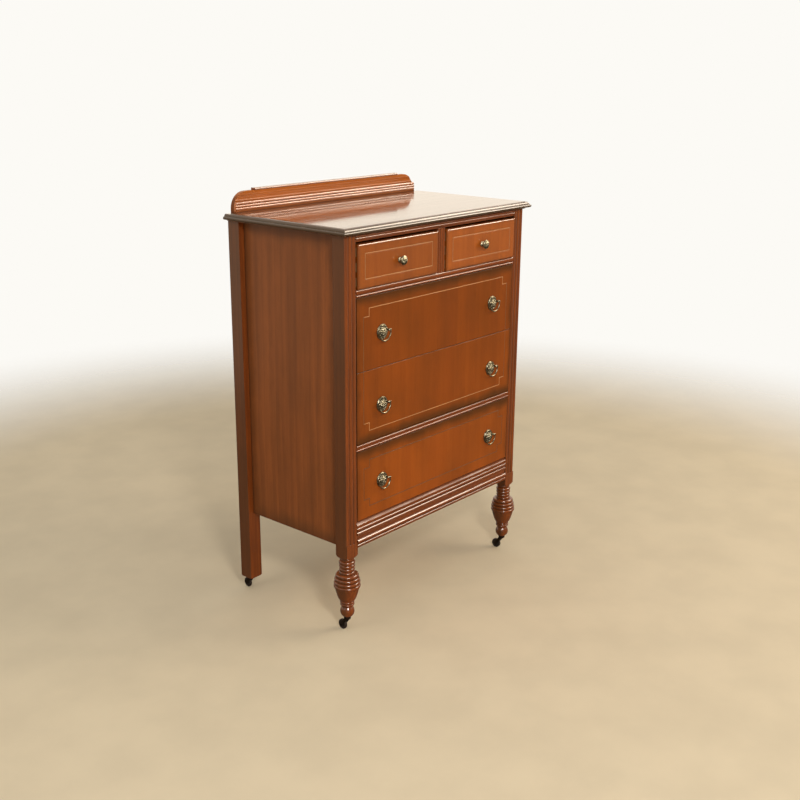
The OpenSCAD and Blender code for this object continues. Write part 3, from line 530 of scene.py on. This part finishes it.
FRONT = WoodFinish(
    "front_wood", srgb(162, 81, 20), srgb(128, 59, 10), srgb(86, 50, 18), ring_gap=0.05, figure=0.14,
    streaks=18.0, streak=0.34, specular=0.12, coat=0.25, coat_roughness=0.14, glaze_and_shade=0.9, glaze_and_shade_depth=0.2,
    cloud=0.3)
SMALL_FRONT = WoodFinish(
    "small_front_wood", srgb(186, 98, 32), srgb(148, 72, 20), srgb(108, 58, 20), ring_gap=0.04, figure=0.18,
    streaks=24.0, streak=0.45, specular=0.15, coat=1.0, coat_roughness=0.08, coat_ior=1.8, rounding=0.005,
    wear_and_highlight=0.1)
LINE = WoodFinish(
    "line_inlay", srgb(222, 158, 98), srgb(196, 126, 72), srgb(72, 40, 18), figure=0.2, glaze_and_shade=0.0, coat=0.3,
    wear_and_highlight=0.0)
SECONDARY = WoodFinish(
    "secondary_wood", srgb(170, 134, 92), srgb(136, 100, 64), srgb(104, 78, 52), roughness=0.62, coat=0.0,
    glaze_and_shade=0.4)
DRAWER = WoodFinish(
    "drawer_wood", srgb(196, 160, 114), srgb(160, 122, 80), srgb(120, 90, 60), roughness=0.58, coat=0.0,
    glaze_and_shade=0.4)
BRASS = MetalFinish("antique_brass", srgb(172, 164, 138), srgb(90, 83, 62), srgb(22, 16, 9), 0.22)
IRON = MetalFinish("caster_iron", srgb(66, 50, 36), srgb(34, 25, 18), srgb(16, 11, 7), 0.42, 0.85)
WHEEL = MetalFinish("caster_wheel", srgb(62, 46, 34), srgb(38, 27, 19), srgb(16, 11, 8), 0.5, 0.35)


def soften_tree() -> bpy.types.NodeTree:
    """A tree that joins loose faces and shades them smooth up to an angle.

    Returns:
        The tree.
    """
    t, given, out = new_group(
        "Soften", "GeometryNodeTree",
        {"Geometry": GEOMETRY, "Join Within": 0.00002, "Sharp Above": math.radians(28)},
        {"Geometry": GEOMETRY})
    joined = t.add("GeometryNodeMergeByDistance", {"Geometry": given["Geometry"],
                                                   "Distance": given["Join Within"]})
    smooth = t.rounded(joined.outputs[0])
    angle = t.add("GeometryNodeInputMeshEdgeAngle").outputs["Unsigned Angle"]
    sharp = t.add("FunctionNodeCompare", {0: angle, 1: given["Sharp Above"]}, operation="GREATER_THAN",
                  data_type="FLOAT").outputs[0]
    edged = t.add("GeometryNodeSetShadeSmooth",
                  {"Geometry": smooth, "Selection": sharp, "Shade Smooth": False}, domain="EDGE")
    t.set(out.inputs["Geometry"], edged.outputs[0])
    return t.nodes


def grow(name: str, tree: bpy.types.NodeTree, values: dict[str, Any]) -> bpy.types.Object:
    """Makes one mesh from a geometry tree.

    Args:
        name: The piece's name.
        tree: The geometry tree.
        values: The tree's inputs, by name.

    Returns:
        The piece, with no modifier left.
    """
    piece = bpy.data.objects.new(name, bpy.data.meshes.new(f"{name}_start"))
    bpy.context.scene.collection.objects.link(piece)
    modifier = piece.modifiers.new(name, "NODES")
    modifier.node_group = tree
    for item in tree.interface.items_tree:
        if item.in_out == "INPUT" and item.name in values:
            modifier[item.identifier] = values[item.name]
    shape = piece.evaluated_get(bpy.context.evaluated_depsgraph_get())
    mesh = bpy.data.meshes.new_from_object(shape)
    piece.modifiers.remove(modifier)
    piece.data = mesh
    mesh.name = name
    log.info("%s: %d faces", name, len(mesh.polygons))
    return piece


def arc(middle: Point, radius: float, start: float, end: float, steps: int = 6) -> tuple[Point, ...]:
    """Gives points on an arc.

    Args:
        middle: The arc's middle.
        radius: Its radius.
        start: The first angle in degrees, from straight outwards and turning upwards.
        end: The last angle in degrees.
        steps: How many stretches it has.

    Returns:
        The points.
    """
    angles = (math.radians(start + (end - start) * i / steps) for i in range(steps + 1))
    return tuple((middle[0] + radius * math.cos(a), middle[1] + radius * math.sin(a)) for a in angles)


@dataclass(frozen=True)
class Ring:
    """A ring of carving on a turned face, in millimetres: even lobes, or dots pierced between them."""

    lobes: int
    inner: float
    outer: float
    height: float
    soft: float
    roundness: float = 1.0
    pierced: bool = False

    def relief(self, t: Tree, radius: Any, turn: Any) -> Socket:
        """Gives the height that the ring adds to the face.

        Args:
            t: The tree to build in.
            radius: How far from the middle a point is, in metres.
            turn: Its angle around the middle.

        Returns:
            The height in metres.
        """
        wave = t.math("ABSOLUTE", t.math("SINE", t.math("MULTIPLY", turn, self.lobes / 2)))
        shape = t.math("POWER", wave, self.roundness)
        if self.pierced:
            shape = t.step(t.math("SUBTRACT", 1.0, shape), 0.4, 0.75)
        inside, outside = (t.step(radius, (edge - self.soft) * MM, (edge + self.soft) * MM)
                           for edge in (self.inner, self.outer))
        band = t.math("SUBTRACT", inside, outside)
        return t.math("MULTIPLY", t.math("MULTIPLY", shape, band), self.height * MM)


@dataclass(frozen=True)
class Turned:
    """A turned shape, its outline running outwards from its face's middle, as radius and height in mm."""

    outline: tuple[Point, ...]
    along: int
    around: int
    carving: tuple[Ring, ...] = ()

    def curve(self, t: Tree, along: Any, values: Sequence[float]) -> Socket:
        """Gives one coordinate of the outline.

        Args:
            t: The tree to build in.
            along: How far along the outline a point is, from 0 to 1.
            values: The coordinate at each point of the outline.

        Returns:
            The coordinate in metres.
        """
        steps = [math.dist(a, b) for a, b in zip(self.outline, self.outline[1:])]
        low, high = min(values), max(values)
        node = t.add("ShaderNodeFloatCurve", {"Value": along})
        points = node.mapping.curves[0].points
        places = [sum(steps[:i]) / sum(steps) for i in range(len(values))]
        for index, (place, value) in enumerate(zip(places, values)):
            share = (value - low) / (high - low)
            if index in (0, len(values) - 1):
                points[0 if index == 0 else -1].location = (place, share)
            else:
                points.new(place, share)
        for point in points:
            point.handle_type = "VECTOR"
        node.mapping.update()
        return t.math("ADD", t.math("MULTIPLY", node.outputs[0], (high - low) * MM), low * MM)

    def build(self, t: Tree) -> Socket:
        """Adds the shape to a geometry tree, standing on its face's axis, Z.

        Args:
            t: The tree to build in.

        Returns:
            The shape.
        """
        grid = t.add("GeometryNodeMeshGrid", {"Size X": 1.0, "Size Y": 1.0, "Vertices X": self.along,
                                              "Vertices Y": self.around + 1})
        spot = t.parts(t.add("GeometryNodeInputPosition").outputs[0])
        along = t.math("ADD", spot[0], 0.5)
        turn = t.math("MULTIPLY", t.math("ADD", spot[1], 0.5), 2 * math.pi)
        radius = self.curve(t, along, [point[0] for point in self.outline])
        height = self.curve(t, along, [point[1] for point in self.outline])
        for ring in self.carving:
            height = t.math("ADD", height, ring.relief(t, radius, turn))
        place = t.combined(t.math("MULTIPLY", radius, t.math("COSINE", turn)),
                           t.math("MULTIPLY", radius, t.math("SINE", turn)), height)
        bent = t.add("GeometryNodeSetPosition", {"Geometry": grid.outputs["Mesh"], "Position": place})
        closed = t.add("GeometryNodeMergeByDistance", {"Geometry": bent.outputs[0], "Distance": 0.01 * MM})
        return t.rounded(closed.outputs[0])


PETALS = Ring(12, 15.6, 19.0, 1.3, 0.6, roundness=0.6)
PEARLS = Ring(22, 12.2, 14.2, 1.0, 0.4)
GADROONS = Ring(10, 4.2, 11.4, 1.1, 0.8)
DOTS = Ring(10, 8.2, 10.8, -2.4, 0.5, pierced=True)
FLOWER = Ring(8, 0.8, 4.4, -0.7, 0.5)
FLUTES = Ring(20, 5.6, 10.4, -0.7, 0.6)
PLATE = Turned(
    (*arc((0, 6.0), 3.6, 90, 25, 5), *arc((0, -8.4), 17.0, 75, 48, 6), *arc((13.0, 2.6), 1.3, 130, 10, 5),
     (15.0, 1.5), *arc((17.6, -0.6), 3.0, 120, 50, 4), *arc((19.9, 1.0), 1.1, 110, 0, 5), (21.0, 0.0)),
    along=96, around=176, carving=(PETALS, PEARLS, GADROONS, DOTS))
KNOB = Turned(
    (*arc((0, 5.6), 15.4, 90, 48, 6), *arc((9.9, 13.6), 3.1, 50, -75, 7), (8.6, 10.2), (5.4, 9.6),
     *arc((8.2, 6.2), 3.9, 145, 215, 5), (6.6, 2.4), *arc((6.7, 1.1), 0.9, 90, -20, 4), (7.0, 0.0),
     (3.0, 0.0), (3.0, -14.0), (0.0, -14.0)), along=110, around=120, carving=(FLOWER, FLUTES))
PULL_POST = Turned(
    (*arc((0, 10.4), 3.6, 90, -40, 8), (2.4, 6.6), (2.4, 3.4), (3.2, 1.6), (3.4, 0.0), (2.5, 0.0),
     (2.5, -22.4), (2.1, -23.0), (0.0, -23.0)), along=48, around=32)


class Dresser:
    """Gives the construction's own pieces their finish."""

    def __init__(self, effects: Effects) -> None:
        """Takes the shared groups and builds the softening tree."""
        self.effects = effects
        self.soften = soften_tree()

    def dress(self, material: bpy.types.Material, *nodes: str) -> None:
        """Puts a material on pieces of the construction and softens their shading.

        Args:
            material: Their finish.
            nodes: The pieces' names.
        """
        for node in nodes:
            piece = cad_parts[node]
            piece.data.materials.clear()
            piece.data.materials.append(material)
            modifier = piece.modifiers.new("soften", "NODES")
            modifier.node_group = self.soften
            weighted = piece.modifiers.new("weighted", "WEIGHTED_NORMAL")
            weighted.keep_sharp = True
            log.info("%s: %s", node, material.name)


@dataclass
class Carcase:
    """Posts, panels, top, gallery, rails and the frames inside. A band is its width and how strong it is."""

    dresser: Dresser
    panel_band: Point = (0.05, 0.6)
    top_band: Point = (0.014, 1.0)
    top_inset: float = 0.004
    gallery_band: Point = (0.009, 0.5)
    cove_band: Point = (0.024, 0.3)
    # How dark the middle rail is made, as painted shadow in the gap between the fronts.
    gap_shadow_factor: float = 0.12

    def build(self) -> None:
        """Dresses every fixed piece."""
        self._posts_and_panels()
        self._top()
        self._mouldings()
        self._inside()

    def _posts_and_panels(self) -> None:
        """Dresses the posts and the side panels."""
        effects, dress = self.dresser.effects, self.dresser.dress
        for index, corner in enumerate(CORNERS):
            offset = (0.3 * index, 0.2 * index, 0.1)
            dress(POST.material(effects, Grain.UP, offset, label=corner), f"post_{corner}")
        for index, side in enumerate(SIDES):
            node, offset = f"side_panel_{side}", (0.7 + index, 0.4, 0.2)
            low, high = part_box(node)
            border = Border(*self.panel_band, (-FAR, low.y, low.z), (FAR, high.y, high.z))
            dress(PANEL.material(effects, Grain.UP, offset, border, side), node)

    def _top(self) -> None:
        """Dresses the top and its gallery."""
        effects, dress = self.dresser.effects, self.dresser.dress
        low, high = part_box("top_board")
        inset = self.top_inset
        border = Border(*self.top_band, (low.x + inset, low.y + inset, -FAR), (high.x - inset, FAR, FAR))
        dress(TOP.material(effects, Grain.ALONG, (0.2, 0.5, 0.3), border, "board"), "top_board")
        dress(GALLERY.material(effects, Grain.ALONG, (0.9, 0.1, 0.6)), "gallery_board")
        foot = Border(*self.gallery_band, low=(-FAR, -FAR, high.z))
        dress(REEDED.material(effects, Grain.ALONG, (0.6, 0.2, 0.1), foot, "gallery"), "gallery_moulding")

    def _mouldings(self) -> None:
        """Dresses the rails and mouldings that show at the front."""
        effects, dress = self.dresser.effects, self.dresser.dress
        cut = (0.1, 0.8, 0.4)
        dress(MOULDING.material(effects, Grain.ALONG, cut), "gallery_cap", "top_rail")
        dress(RAIL.material(effects, Grain.ALONG, cut, label="rail"), "upper_rail", "lower_rail")
        cove = Border(*self.cove_band, high=(FAR, FAR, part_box("base_moulding")[1].z))
        dress(BASE.material(effects, Grain.ALONG, (0.3, 0.7, 0.8), cove, "base"), "base_moulding")
        dress(MOULDING.material(effects, Grain.UP, (0.5, 0.3, 0.2), label="upright"), "drawer_divider")

    def _inside(self) -> None:
        """Dresses the pieces inside and the back."""
        effects, dress = self.dresser.effects, self.dresser.dress
        # Painted shadow: the middle rail, seen only through the drawer gap, is made very dark.
        gap_shadow = SECONDARY.shaded(self.gap_shadow_factor)
        dress(gap_shadow.material(effects, Grain.ALONG, label="rail"), "middle_rail")
        for node, grain, offset, label in (("rear_rails", Grain.ALONG, (0.4, 0.2, 0.0), "rear"),
                                           ("drawer_runners", Grain.DEEP, (0.1, 0.6, 0.0), "runners"),
                                           ("drawer_stops", Grain.ALONG, (0.8, 0.6, 0.0), "stops"),
                                           ("back_panel", Grain.UP, (0.3, 0.1, 0.5), "back")):
            dress(SECONDARY.material(effects, grain, offset, label=label), node)


@dataclass
class Drawers:
    """The five drawers with their inlay. A band is its width and how strong it is."""

    dresser: Dresser
    upper_band: Point = (0.036, 0.9)
    lower_band: Point = (0.042, 0.9)
    small_band: Point = (0.012, 0.3)
    side_width: float = 0.022
    line_band: Point = (0.006, 0.8)
    small_line_band: Point = (0.006, 0.35)
    dark_line_band: Point = (0.2, 0.8)
    names: tuple[str, ...] = ("small_left", "small_right", "upper", "middle", "lower")
    shades: tuple[float, ...] = (0.9, 1.1, 0.9, 1.0, 1.16)

    def build(self) -> None:
        """Dresses the fronts, boxes, bottoms and inlaid lines."""
        effects, dress = self.dresser.effects, self.dresser.dress
        dress(DRAWER.material(effects, Grain.DEEP), *(f"{name}_box" for name in self.names))
        dress(DRAWER.material(effects, Grain.ALONG, (0.4, 0.4, 0.0), label="bottom"),
              *(f"{name}_bottom" for name in self.names))
        for index, (name, shade) in enumerate(zip(self.names, self.shades)):
            finish = (SMALL_FRONT if name.startswith("small") else FRONT).shaded(shade)
            offset = (0.37 * index, 0.21 * index, 0.1)
            dress(finish.material(effects, Grain.UP, offset, self._band(name), name), f"{name}_front")
            dress(LINE.material(effects, Grain.ALONG, offset, self._line_shade(name), name), f"{name}_inlay")

    def _band(self, name: str) -> Border:
        """Gives the toned band of a drawer front: the upper and middle fronts share one.

        Args:
            name: The drawer.

        Returns:
            The band.
        """
        low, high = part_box(f"{name}_front")
        foot, top, band = low.z, high.z, self.small_band
        if name == "lower":
            foot, band = -FAR, self.lower_band
        elif name in ("upper", "middle"):
            foot, top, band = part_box("middle_front")[0].z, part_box("upper_front")[1].z, self.upper_band
        spare = max(band[0] - self.side_width, 0.0)
        return Border(*band, (low.x - spare, -FAR, foot), (high.x + spare, FAR, top))

    def _line_shade(self, name: str) -> Border:
        """Gives the part of an inlaid line that is darker: its upright sides, as painted shadow, and all of
        the lowest one.

        Args:
            name: The drawer.

        Returns:
            The shaded band.
        """
        low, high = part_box(f"{name}_inlay")
        if name == "lower":
            return Border(*self.dark_line_band, (low.x, -FAR, low.z), (high.x, FAR, high.z))
        band = self.small_line_band if name.startswith("small") else self.line_band
        return Border(*band, (low.x, -FAR, -FAR), (high.x, FAR, FAR))


@dataclass
class Hardware:
    """Pulls, knobs and casters."""

    dresser: Dresser
    post_gap: float = 33.0 * MM
    pivot_out: float = 11.0 * MM
    plate_drop: float = 4.5 * MM
    bail_wire: float = 4.0 * MM
    bail_pin: float = 2.8 * MM
    end_thickness: float = 0.74
    ball_share: float = 0.58
    pin_in: float = 13.5 * MM
    nut_size: float = 5.5 * MM
    nut_thickness: float = 3.0 * MM
    nut_middle: float = 21.5 * MM

    def build(self) -> None:
        """Makes the pulls and knobs and dresses the casters."""
        effects = self.dresser.effects
        brass = BRASS.material(effects)
        plate, bail, knob = self._plate_tree(), self._bail_tree(), self._knob_tree()
        for drawer in ("upper", "middle", "lower"):
            low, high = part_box(f"{drawer}_front")
            face, height = low.y, (low.z + high.z) / 2
            low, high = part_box(f"{drawer}_bail_right")
            middle, ring = (low.x + high.x) / 2, (high.x - low.x - self.bail_wire) / 2
            half = math.sqrt(ring ** 2 - self.plate_drop ** 2)
            piece = grow(f"{drawer}_rosettes", plate, {"From Middle": middle, "Face": face, "Height": height,
                                                       "Material": brass})
            self._stand_for(piece, f"{drawer}_plates", f"{drawer}_drawer")
            for side, sign in zip(SIDES, (-1, 1)):
                node = f"{drawer}_bail_{side}"
                piece = grow(f"{node}_ring", bail, {"Place": (sign * middle, face - self.pivot_out, height),
                                                    "Half Width": half, "Material": brass})
                self._stand_for(piece, node, node)
        for side in SIDES:
            low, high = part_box(f"knob_{side}")
            place = ((low.x + high.x) / 2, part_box(f"small_{side}_front")[0].y, (low.z + high.z) / 2)
            piece = grow(f"knob_{side}_turned", knob, {"Place": place, "Material": brass})
            self._stand_for(piece, f"knob_{side}", f"small_{side}_drawer")
        forks = (f"caster_{corner}" for corner in CORNERS)
        self.dresser.dress(IRON.material(effects), "caster_sockets", *forks)
        self.dresser.dress(WHEEL.material(effects), *(f"wheel_{corner}" for corner in CORNERS))

    def _stand_for(self, piece: bpy.types.Object, node: str, body: str) -> None:
        """Puts a piece in the place of a node of the construction.

        Args:
            piece: The piece.
            node: The node that it stands for.
            body: The body that it moves with.
        """
        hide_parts(node)
        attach(piece, body)

    @staticmethod
    def _finish(t: Tree, shape: Any, place: Any, given: dict[str, Any], out: bpy.types.Node) -> None:
        """Turns a shape's face to the front, moves it to its place and gives it its material.

        Args:
            t: The tree to build in.
            shape: The shape, facing up.
            place: Where it goes.
            given: The tree's inputs.
            out: The tree's output node.
        """
        turned = t.moved(shape, place, (math.pi / 2, 0.0, 0.0))
        real = t.add("GeometryNodeRealizeInstances", {"Geometry": turned})
        painted = t.add("GeometryNodeSetMaterial", {"Geometry": real.outputs[0],
                                                    "Material": given["Material"]})
        t.set(out.inputs["Geometry"], painted.outputs[0])

    def _plate_tree(self) -> bpy.types.NodeTree:
        """A drawer's two pull plates, each with its posts, bolts and nuts.

        Returns:
            The tree.
        """
        t, given, out = new_group(
            "Pull Plates", "GeometryNodeTree",
            {"From Middle": 0.2, "Face": 0.0, "Height": 0.8, "Post Gap": self.post_gap,
             "Material": MATERIAL}, {"Geometry": GEOMETRY})
        nut = t.add("GeometryNodeMeshCylinder", {"Vertices": 6, "Radius": self.nut_size,
                                                 "Depth": self.nut_thickness}).outputs[0]
        nut = t.moved(nut, (0.0, 0.0, -self.nut_middle))
        posts = self._pair(t, t.joined(PULL_POST.build(t), nut), given["Post Gap"], 0.5)
        plate = t.moved(PLATE.build(t), (0.0, -self.plate_drop, 0.0))
        pulls = self._pair(t, t.joined(plate, posts), given["From Middle"], 1.0)
        self._finish(t, pulls, t.combined(y=given["Face"], z=given["Height"]), given, out)
        return t.nodes

    @staticmethod
    def _pair(t: Tree, shape: Any, apart: Any, share: float) -> Socket:
        """Puts a shape at both ends of a line along X.

        Args:
            t: The tree to build in.
            shape: The shape.
            apart: A distance.
            share: What share of the distance each end is from the middle.

        Returns:
            The instances.
        """
        reach = t.combined(t.math("MULTIPLY", apart, share))
        line = t.add("GeometryNodeCurvePrimitiveLine",
                     {"Start": t.vector("MULTIPLY", reach, (-1, 1, 1)), "End": reach}).outputs[0]
        return t.add("GeometryNodeInstanceOnPoints", {"Points": line, "Instance": shape}).outputs[0]

    def _bail_tree(self) -> bpy.types.NodeTree:
        """A bail: a half ring, thickest at its middle, with a ball and a pin at each end.

        Returns:
            The tree.
        """
        t, given, out = new_group(
            "Bail", "GeometryNodeTree",
            {"Place": VECTOR, "Half Width": 0.02, "Wire": self.bail_wire,
             "Pin": self.bail_pin, "Drop": self.plate_drop, "Material": MATERIAL},
            {"Geometry": GEOMETRY})
        half, drop = given["Half Width"], given["Drop"]
        rise = t.math("ARCTAN2", drop, half)
        hung = t.math("SQRT", t.math("ADD", t.math("POWER", drop, 2.0), t.math("POWER", half, 2.0)))
        ring = t.add("GeometryNodeCurveArc",
                     {"Resolution": 49, "Radius": hung, "Start Angle": t.math("SUBTRACT", math.pi, rise),
                      "Sweep Angle": t.math("ADD", math.pi, t.math("MULTIPLY", rise, 2.0))}).outputs["Curve"]
        ring = t.moved(ring, t.combined(y=t.math("MULTIPLY", drop, -1.0)))
        along = t.add("GeometryNodeSplineParameter").outputs["Factor"]
        swell = t.math("POWER", t.math("SINE", t.math("MULTIPLY", along, math.pi)), 3.0)
        thick = t.math("ADD", self.end_thickness, t.math("MULTIPLY", swell, 1.0 - self.end_thickness))
        bow = self._rod(t, ring, given["Wire"], 16, thick)
        ball = t.add("GeometryNodeMeshUVSphere", {"Segments": 16, "Rings": 10, "Radius": t.math(
            "MULTIPLY", given["Wire"], self.ball_share)}).outputs[0]
        inward = t.combined(t.math("SUBTRACT", self.pin_in, half))
        axis = t.add("GeometryNodeCurvePrimitiveLine", {"End": inward}).outputs[0]
        pin = self._rod(t, axis, given["Pin"], 12)
        right = t.moved(t.joined(ball, pin), t.combined(half))
        left = t.moved(right, turn=(0.0, 0.0, math.pi))
        whole = t.joined(bow, right, left)
        self._finish(t, t.rounded(whole), given["Place"], given, out)
        return t.nodes

    @staticmethod
    def _rod(t: Tree, path: Any, width: Any, around: int, scale: Any = 1.0) -> Socket:
        """Makes a closed round rod along a curve.

        Args:
            t: The tree to build in.
            path: The curve.
            width: The rod's diameter.
            around: How many faces it has around it.
            scale: Its thickness along the curve, as a share of its diameter.

        Returns:
            The rod.
        """
        section = t.add("GeometryNodeCurvePrimitiveCircle",
                        {"Resolution": around, "Radius": t.math("MULTIPLY", width, 0.5)}).outputs[0]
        return t.add("GeometryNodeCurveToMesh",
                     {"Curve": path, "Profile Curve": section, "Scale": scale, "Fill Caps": True}).outputs[0]

    def _knob_tree(self) -> bpy.types.NodeTree:
        """A turned knob with a flower and flutes on its face.

        Returns:
            The tree.
        """
        t, given, out = new_group(
            "Knob", "GeometryNodeTree", {"Place": VECTOR, "Material": MATERIAL}, {"Geometry": GEOMETRY})
        self._finish(t, KNOB.build(t), given["Place"], given, out)
        return t.nodes


@dataclass(frozen=True)
class Lamp:
    """A soft lamp: where it is, its width and height, its watts, and what it points at."""

    name: str
    place: Place
    size: Point
    power: float
    colour: Colour
    target: Place = (0.0, 0.0, 0.7)
    only_mirrored: bool = False

    def build(self) -> None:
        """Makes the lamp, which the camera doesn't see."""
        data = bpy.data.lights.new(self.name, "AREA")
        data.shape, data.energy, data.color = "RECTANGLE", self.power, self.colour
        data.size, data.size_y = self.size
        lamp = bpy.data.objects.new(self.name, data)
        lamp.location = self.place
        lamp.rotation_euler = (Vector(self.target) - Vector(self.place)).to_track_quat("-Z", "Y").to_euler()
        lamp.visible_camera = False
        lamp.visible_diffuse = not self.only_mirrored
        bpy.context.scene.collection.objects.link(lamp)


WINDOW_LIGHT = srgb(255, 238, 216)
LAMP_LIGHT = srgb(255, 250, 244)
MIDDLE = (0.0, 0.0, 0.6)


@dataclass
class Studio:
    """Plain floor, pale surroundings, soft lamps and the camera."""

    floor_colour: Colour = srgb(233, 216, 184)
    wall_colour: Colour = srgb(252, 250, 245)
    floor_reach: float = 3.4
    floor_fade: Point = (1.7, 3.3)
    floor_gloss: float = 0.15
    floor_wear: float = 0.92
    floor_roughness: float = 0.75
    floor_specular: float = 0.2
    ambient: float = 0.5
    wall_shine: float = 1.25
    room_gloss: float = 0.16
    room_colour: Colour = srgb(246, 214, 178)
    wall_gloss: Colour = srgb(252, 240, 222)
    wall_side: Place = (0.45, 0.80, 0.35)
    wall_fade: Point = (0.0, 0.6)
    camera_place: Place = (-2.36516, -2.09150, 1.51847)
    camera_yaw: float = 49.400
    camera_pitch: float = -17.031
    camera_roll: float = 0.392
    lens: float = 49.575
    sensor: float = 36.0
    lamps: tuple[Lamp, ...] = (
        Lamp("window", (2.8, -2.8, 2.4), (2.2, 0.9), 58.0, WINDOW_LIGHT),
        Lamp("fill", (-2.0, -2.8, 2.5), (0.5, 0.5), 42.0, LAMP_LIGHT, MIDDLE),
        Lamp("side", (-3.4, 0.4, 2.2), (1.6, 1.6), 14.0, LAMP_LIGHT, (-0.3, 0.0, 0.6)),
        Lamp("sheen", (2.6, -1.5, 2.9), (2.0, 1.2), 120.0, WINDOW_LIGHT, only_mirrored=True),
        Lamp("spark", (-2.0, -2.8, 2.5), (1.2, 1.2), 135.0, LAMP_LIGHT, MIDDLE, only_mirrored=True))

    def build(self) -> None:
        """Makes the floor, world, lamps and camera."""
        self._floor()
        self._world()
        for lamp in self.lamps:
            lamp.build()
        self._camera()

    def _floor(self) -> None:
        """Makes the floor, a disc that thins out to the pale surroundings at its rim."""
        mesh = bpy.data.meshes.new("floor")
        disc = bmesh.new()
        bmesh.ops.create_circle(disc, cap_ends=True, segments=96, radius=self.floor_reach)
        disc.to_mesh(mesh)
        disc.free()
        floor = bpy.data.objects.new("floor", mesh)
        bpy.context.scene.collection.objects.link(floor)
        material, t, shader = new_material("floor")
        place = t.add("ShaderNodeTexCoord").outputs["Object"]
        patches = t.step(t.noise(place, 5.0, 7.0), 0.25, 0.75)
        colour = t.mix(patches, self.floor_colour, scaled(self.floor_colour, self.floor_wear))
        mirrored = t.add("ShaderNodeLightPath").outputs["Is Glossy Ray"]
        t.set(shader["Base Color"], t.mix(mirrored, colour, scaled(self.floor_colour, self.floor_gloss)))
        t.set(shader["Roughness"], self.floor_roughness)
        t.set(shader["Specular IOR Level"], self.floor_specular)
        rim = t.step(t.vector("LENGTH", place), *self.floor_fade)
        t.set(shader["Alpha"], t.math("SUBTRACT", 1.0, rim))
        mesh.materials.append(material)

    def _world(self) -> None:
        """Makes the world: pale to the camera and in reflections of the wall side, softer as light."""
        world = bpy.data.worlds.new("surroundings")
        bpy.context.scene.world = world
        world.use_nodes = True
        t = Tree(world.node_tree)
        background = world.node_tree.nodes["Background"]
        path = t.add("ShaderNodeLightPath")
        towards = t.add("ShaderNodeTexCoord").outputs["Generated"]
        wall = t.step(t.vector("DOT_PRODUCT", towards, self.wall_side), *self.wall_fade)
        mirrored = t.between(wall, self.room_gloss, self.wall_shine)
        shiny = t.math("MAXIMUM", path.outputs["Is Glossy Ray"], path.outputs["Is Transmission Ray"])
        strength = t.between(shiny, self.ambient, mirrored)
        tint = t.mix(shiny, self.wall_colour, t.mix(wall, self.room_colour, self.wall_gloss))
        t.set(background.inputs["Color"], t.mix(path.outputs["Is Camera Ray"], tint, self.wall_colour))
        t.set(background.inputs["Strength"], t.between(path.outputs["Is Camera Ray"], strength, 1.0))

    def _camera(self) -> None:
        """Makes the camera at the photograph's place and angle."""
        yaw, pitch, roll = (math.radians(v) for v in (self.camera_yaw, self.camera_pitch, self.camera_roll))
        ahead = Vector((math.sin(yaw) * math.cos(pitch), math.cos(yaw) * math.cos(pitch), math.sin(pitch)))
        right = Vector((math.cos(yaw), -math.sin(yaw), 0.0))
        up = right.cross(ahead)
        across = right * math.cos(roll) + up * math.sin(roll)
        upward = up * math.cos(roll) - right * math.sin(roll)
        data = bpy.data.cameras.new("camera")
        data.lens, data.sensor_width = self.lens, self.sensor
        camera = bpy.data.objects.new("camera", data)
        turned = Matrix((across, upward, -ahead)).transposed().to_4x4()
        camera.matrix_world = Matrix.Translation(self.camera_place) @ turned
        bpy.context.scene.collection.objects.link(camera)
        bpy.context.scene.camera = camera


def main() -> None:
    """Builds the classes in order."""
    logging.basicConfig(level=logging.INFO, format="%(message)s")
    bpy.context.scene.view_settings.view_transform = "Standard"
    dresser = Dresser(Effects())
    Carcase(dresser).build()
    Drawers(dresser).build()
    Hardware(dresser).build()
    Studio().build()


if __name__ == "__main__":
    main()
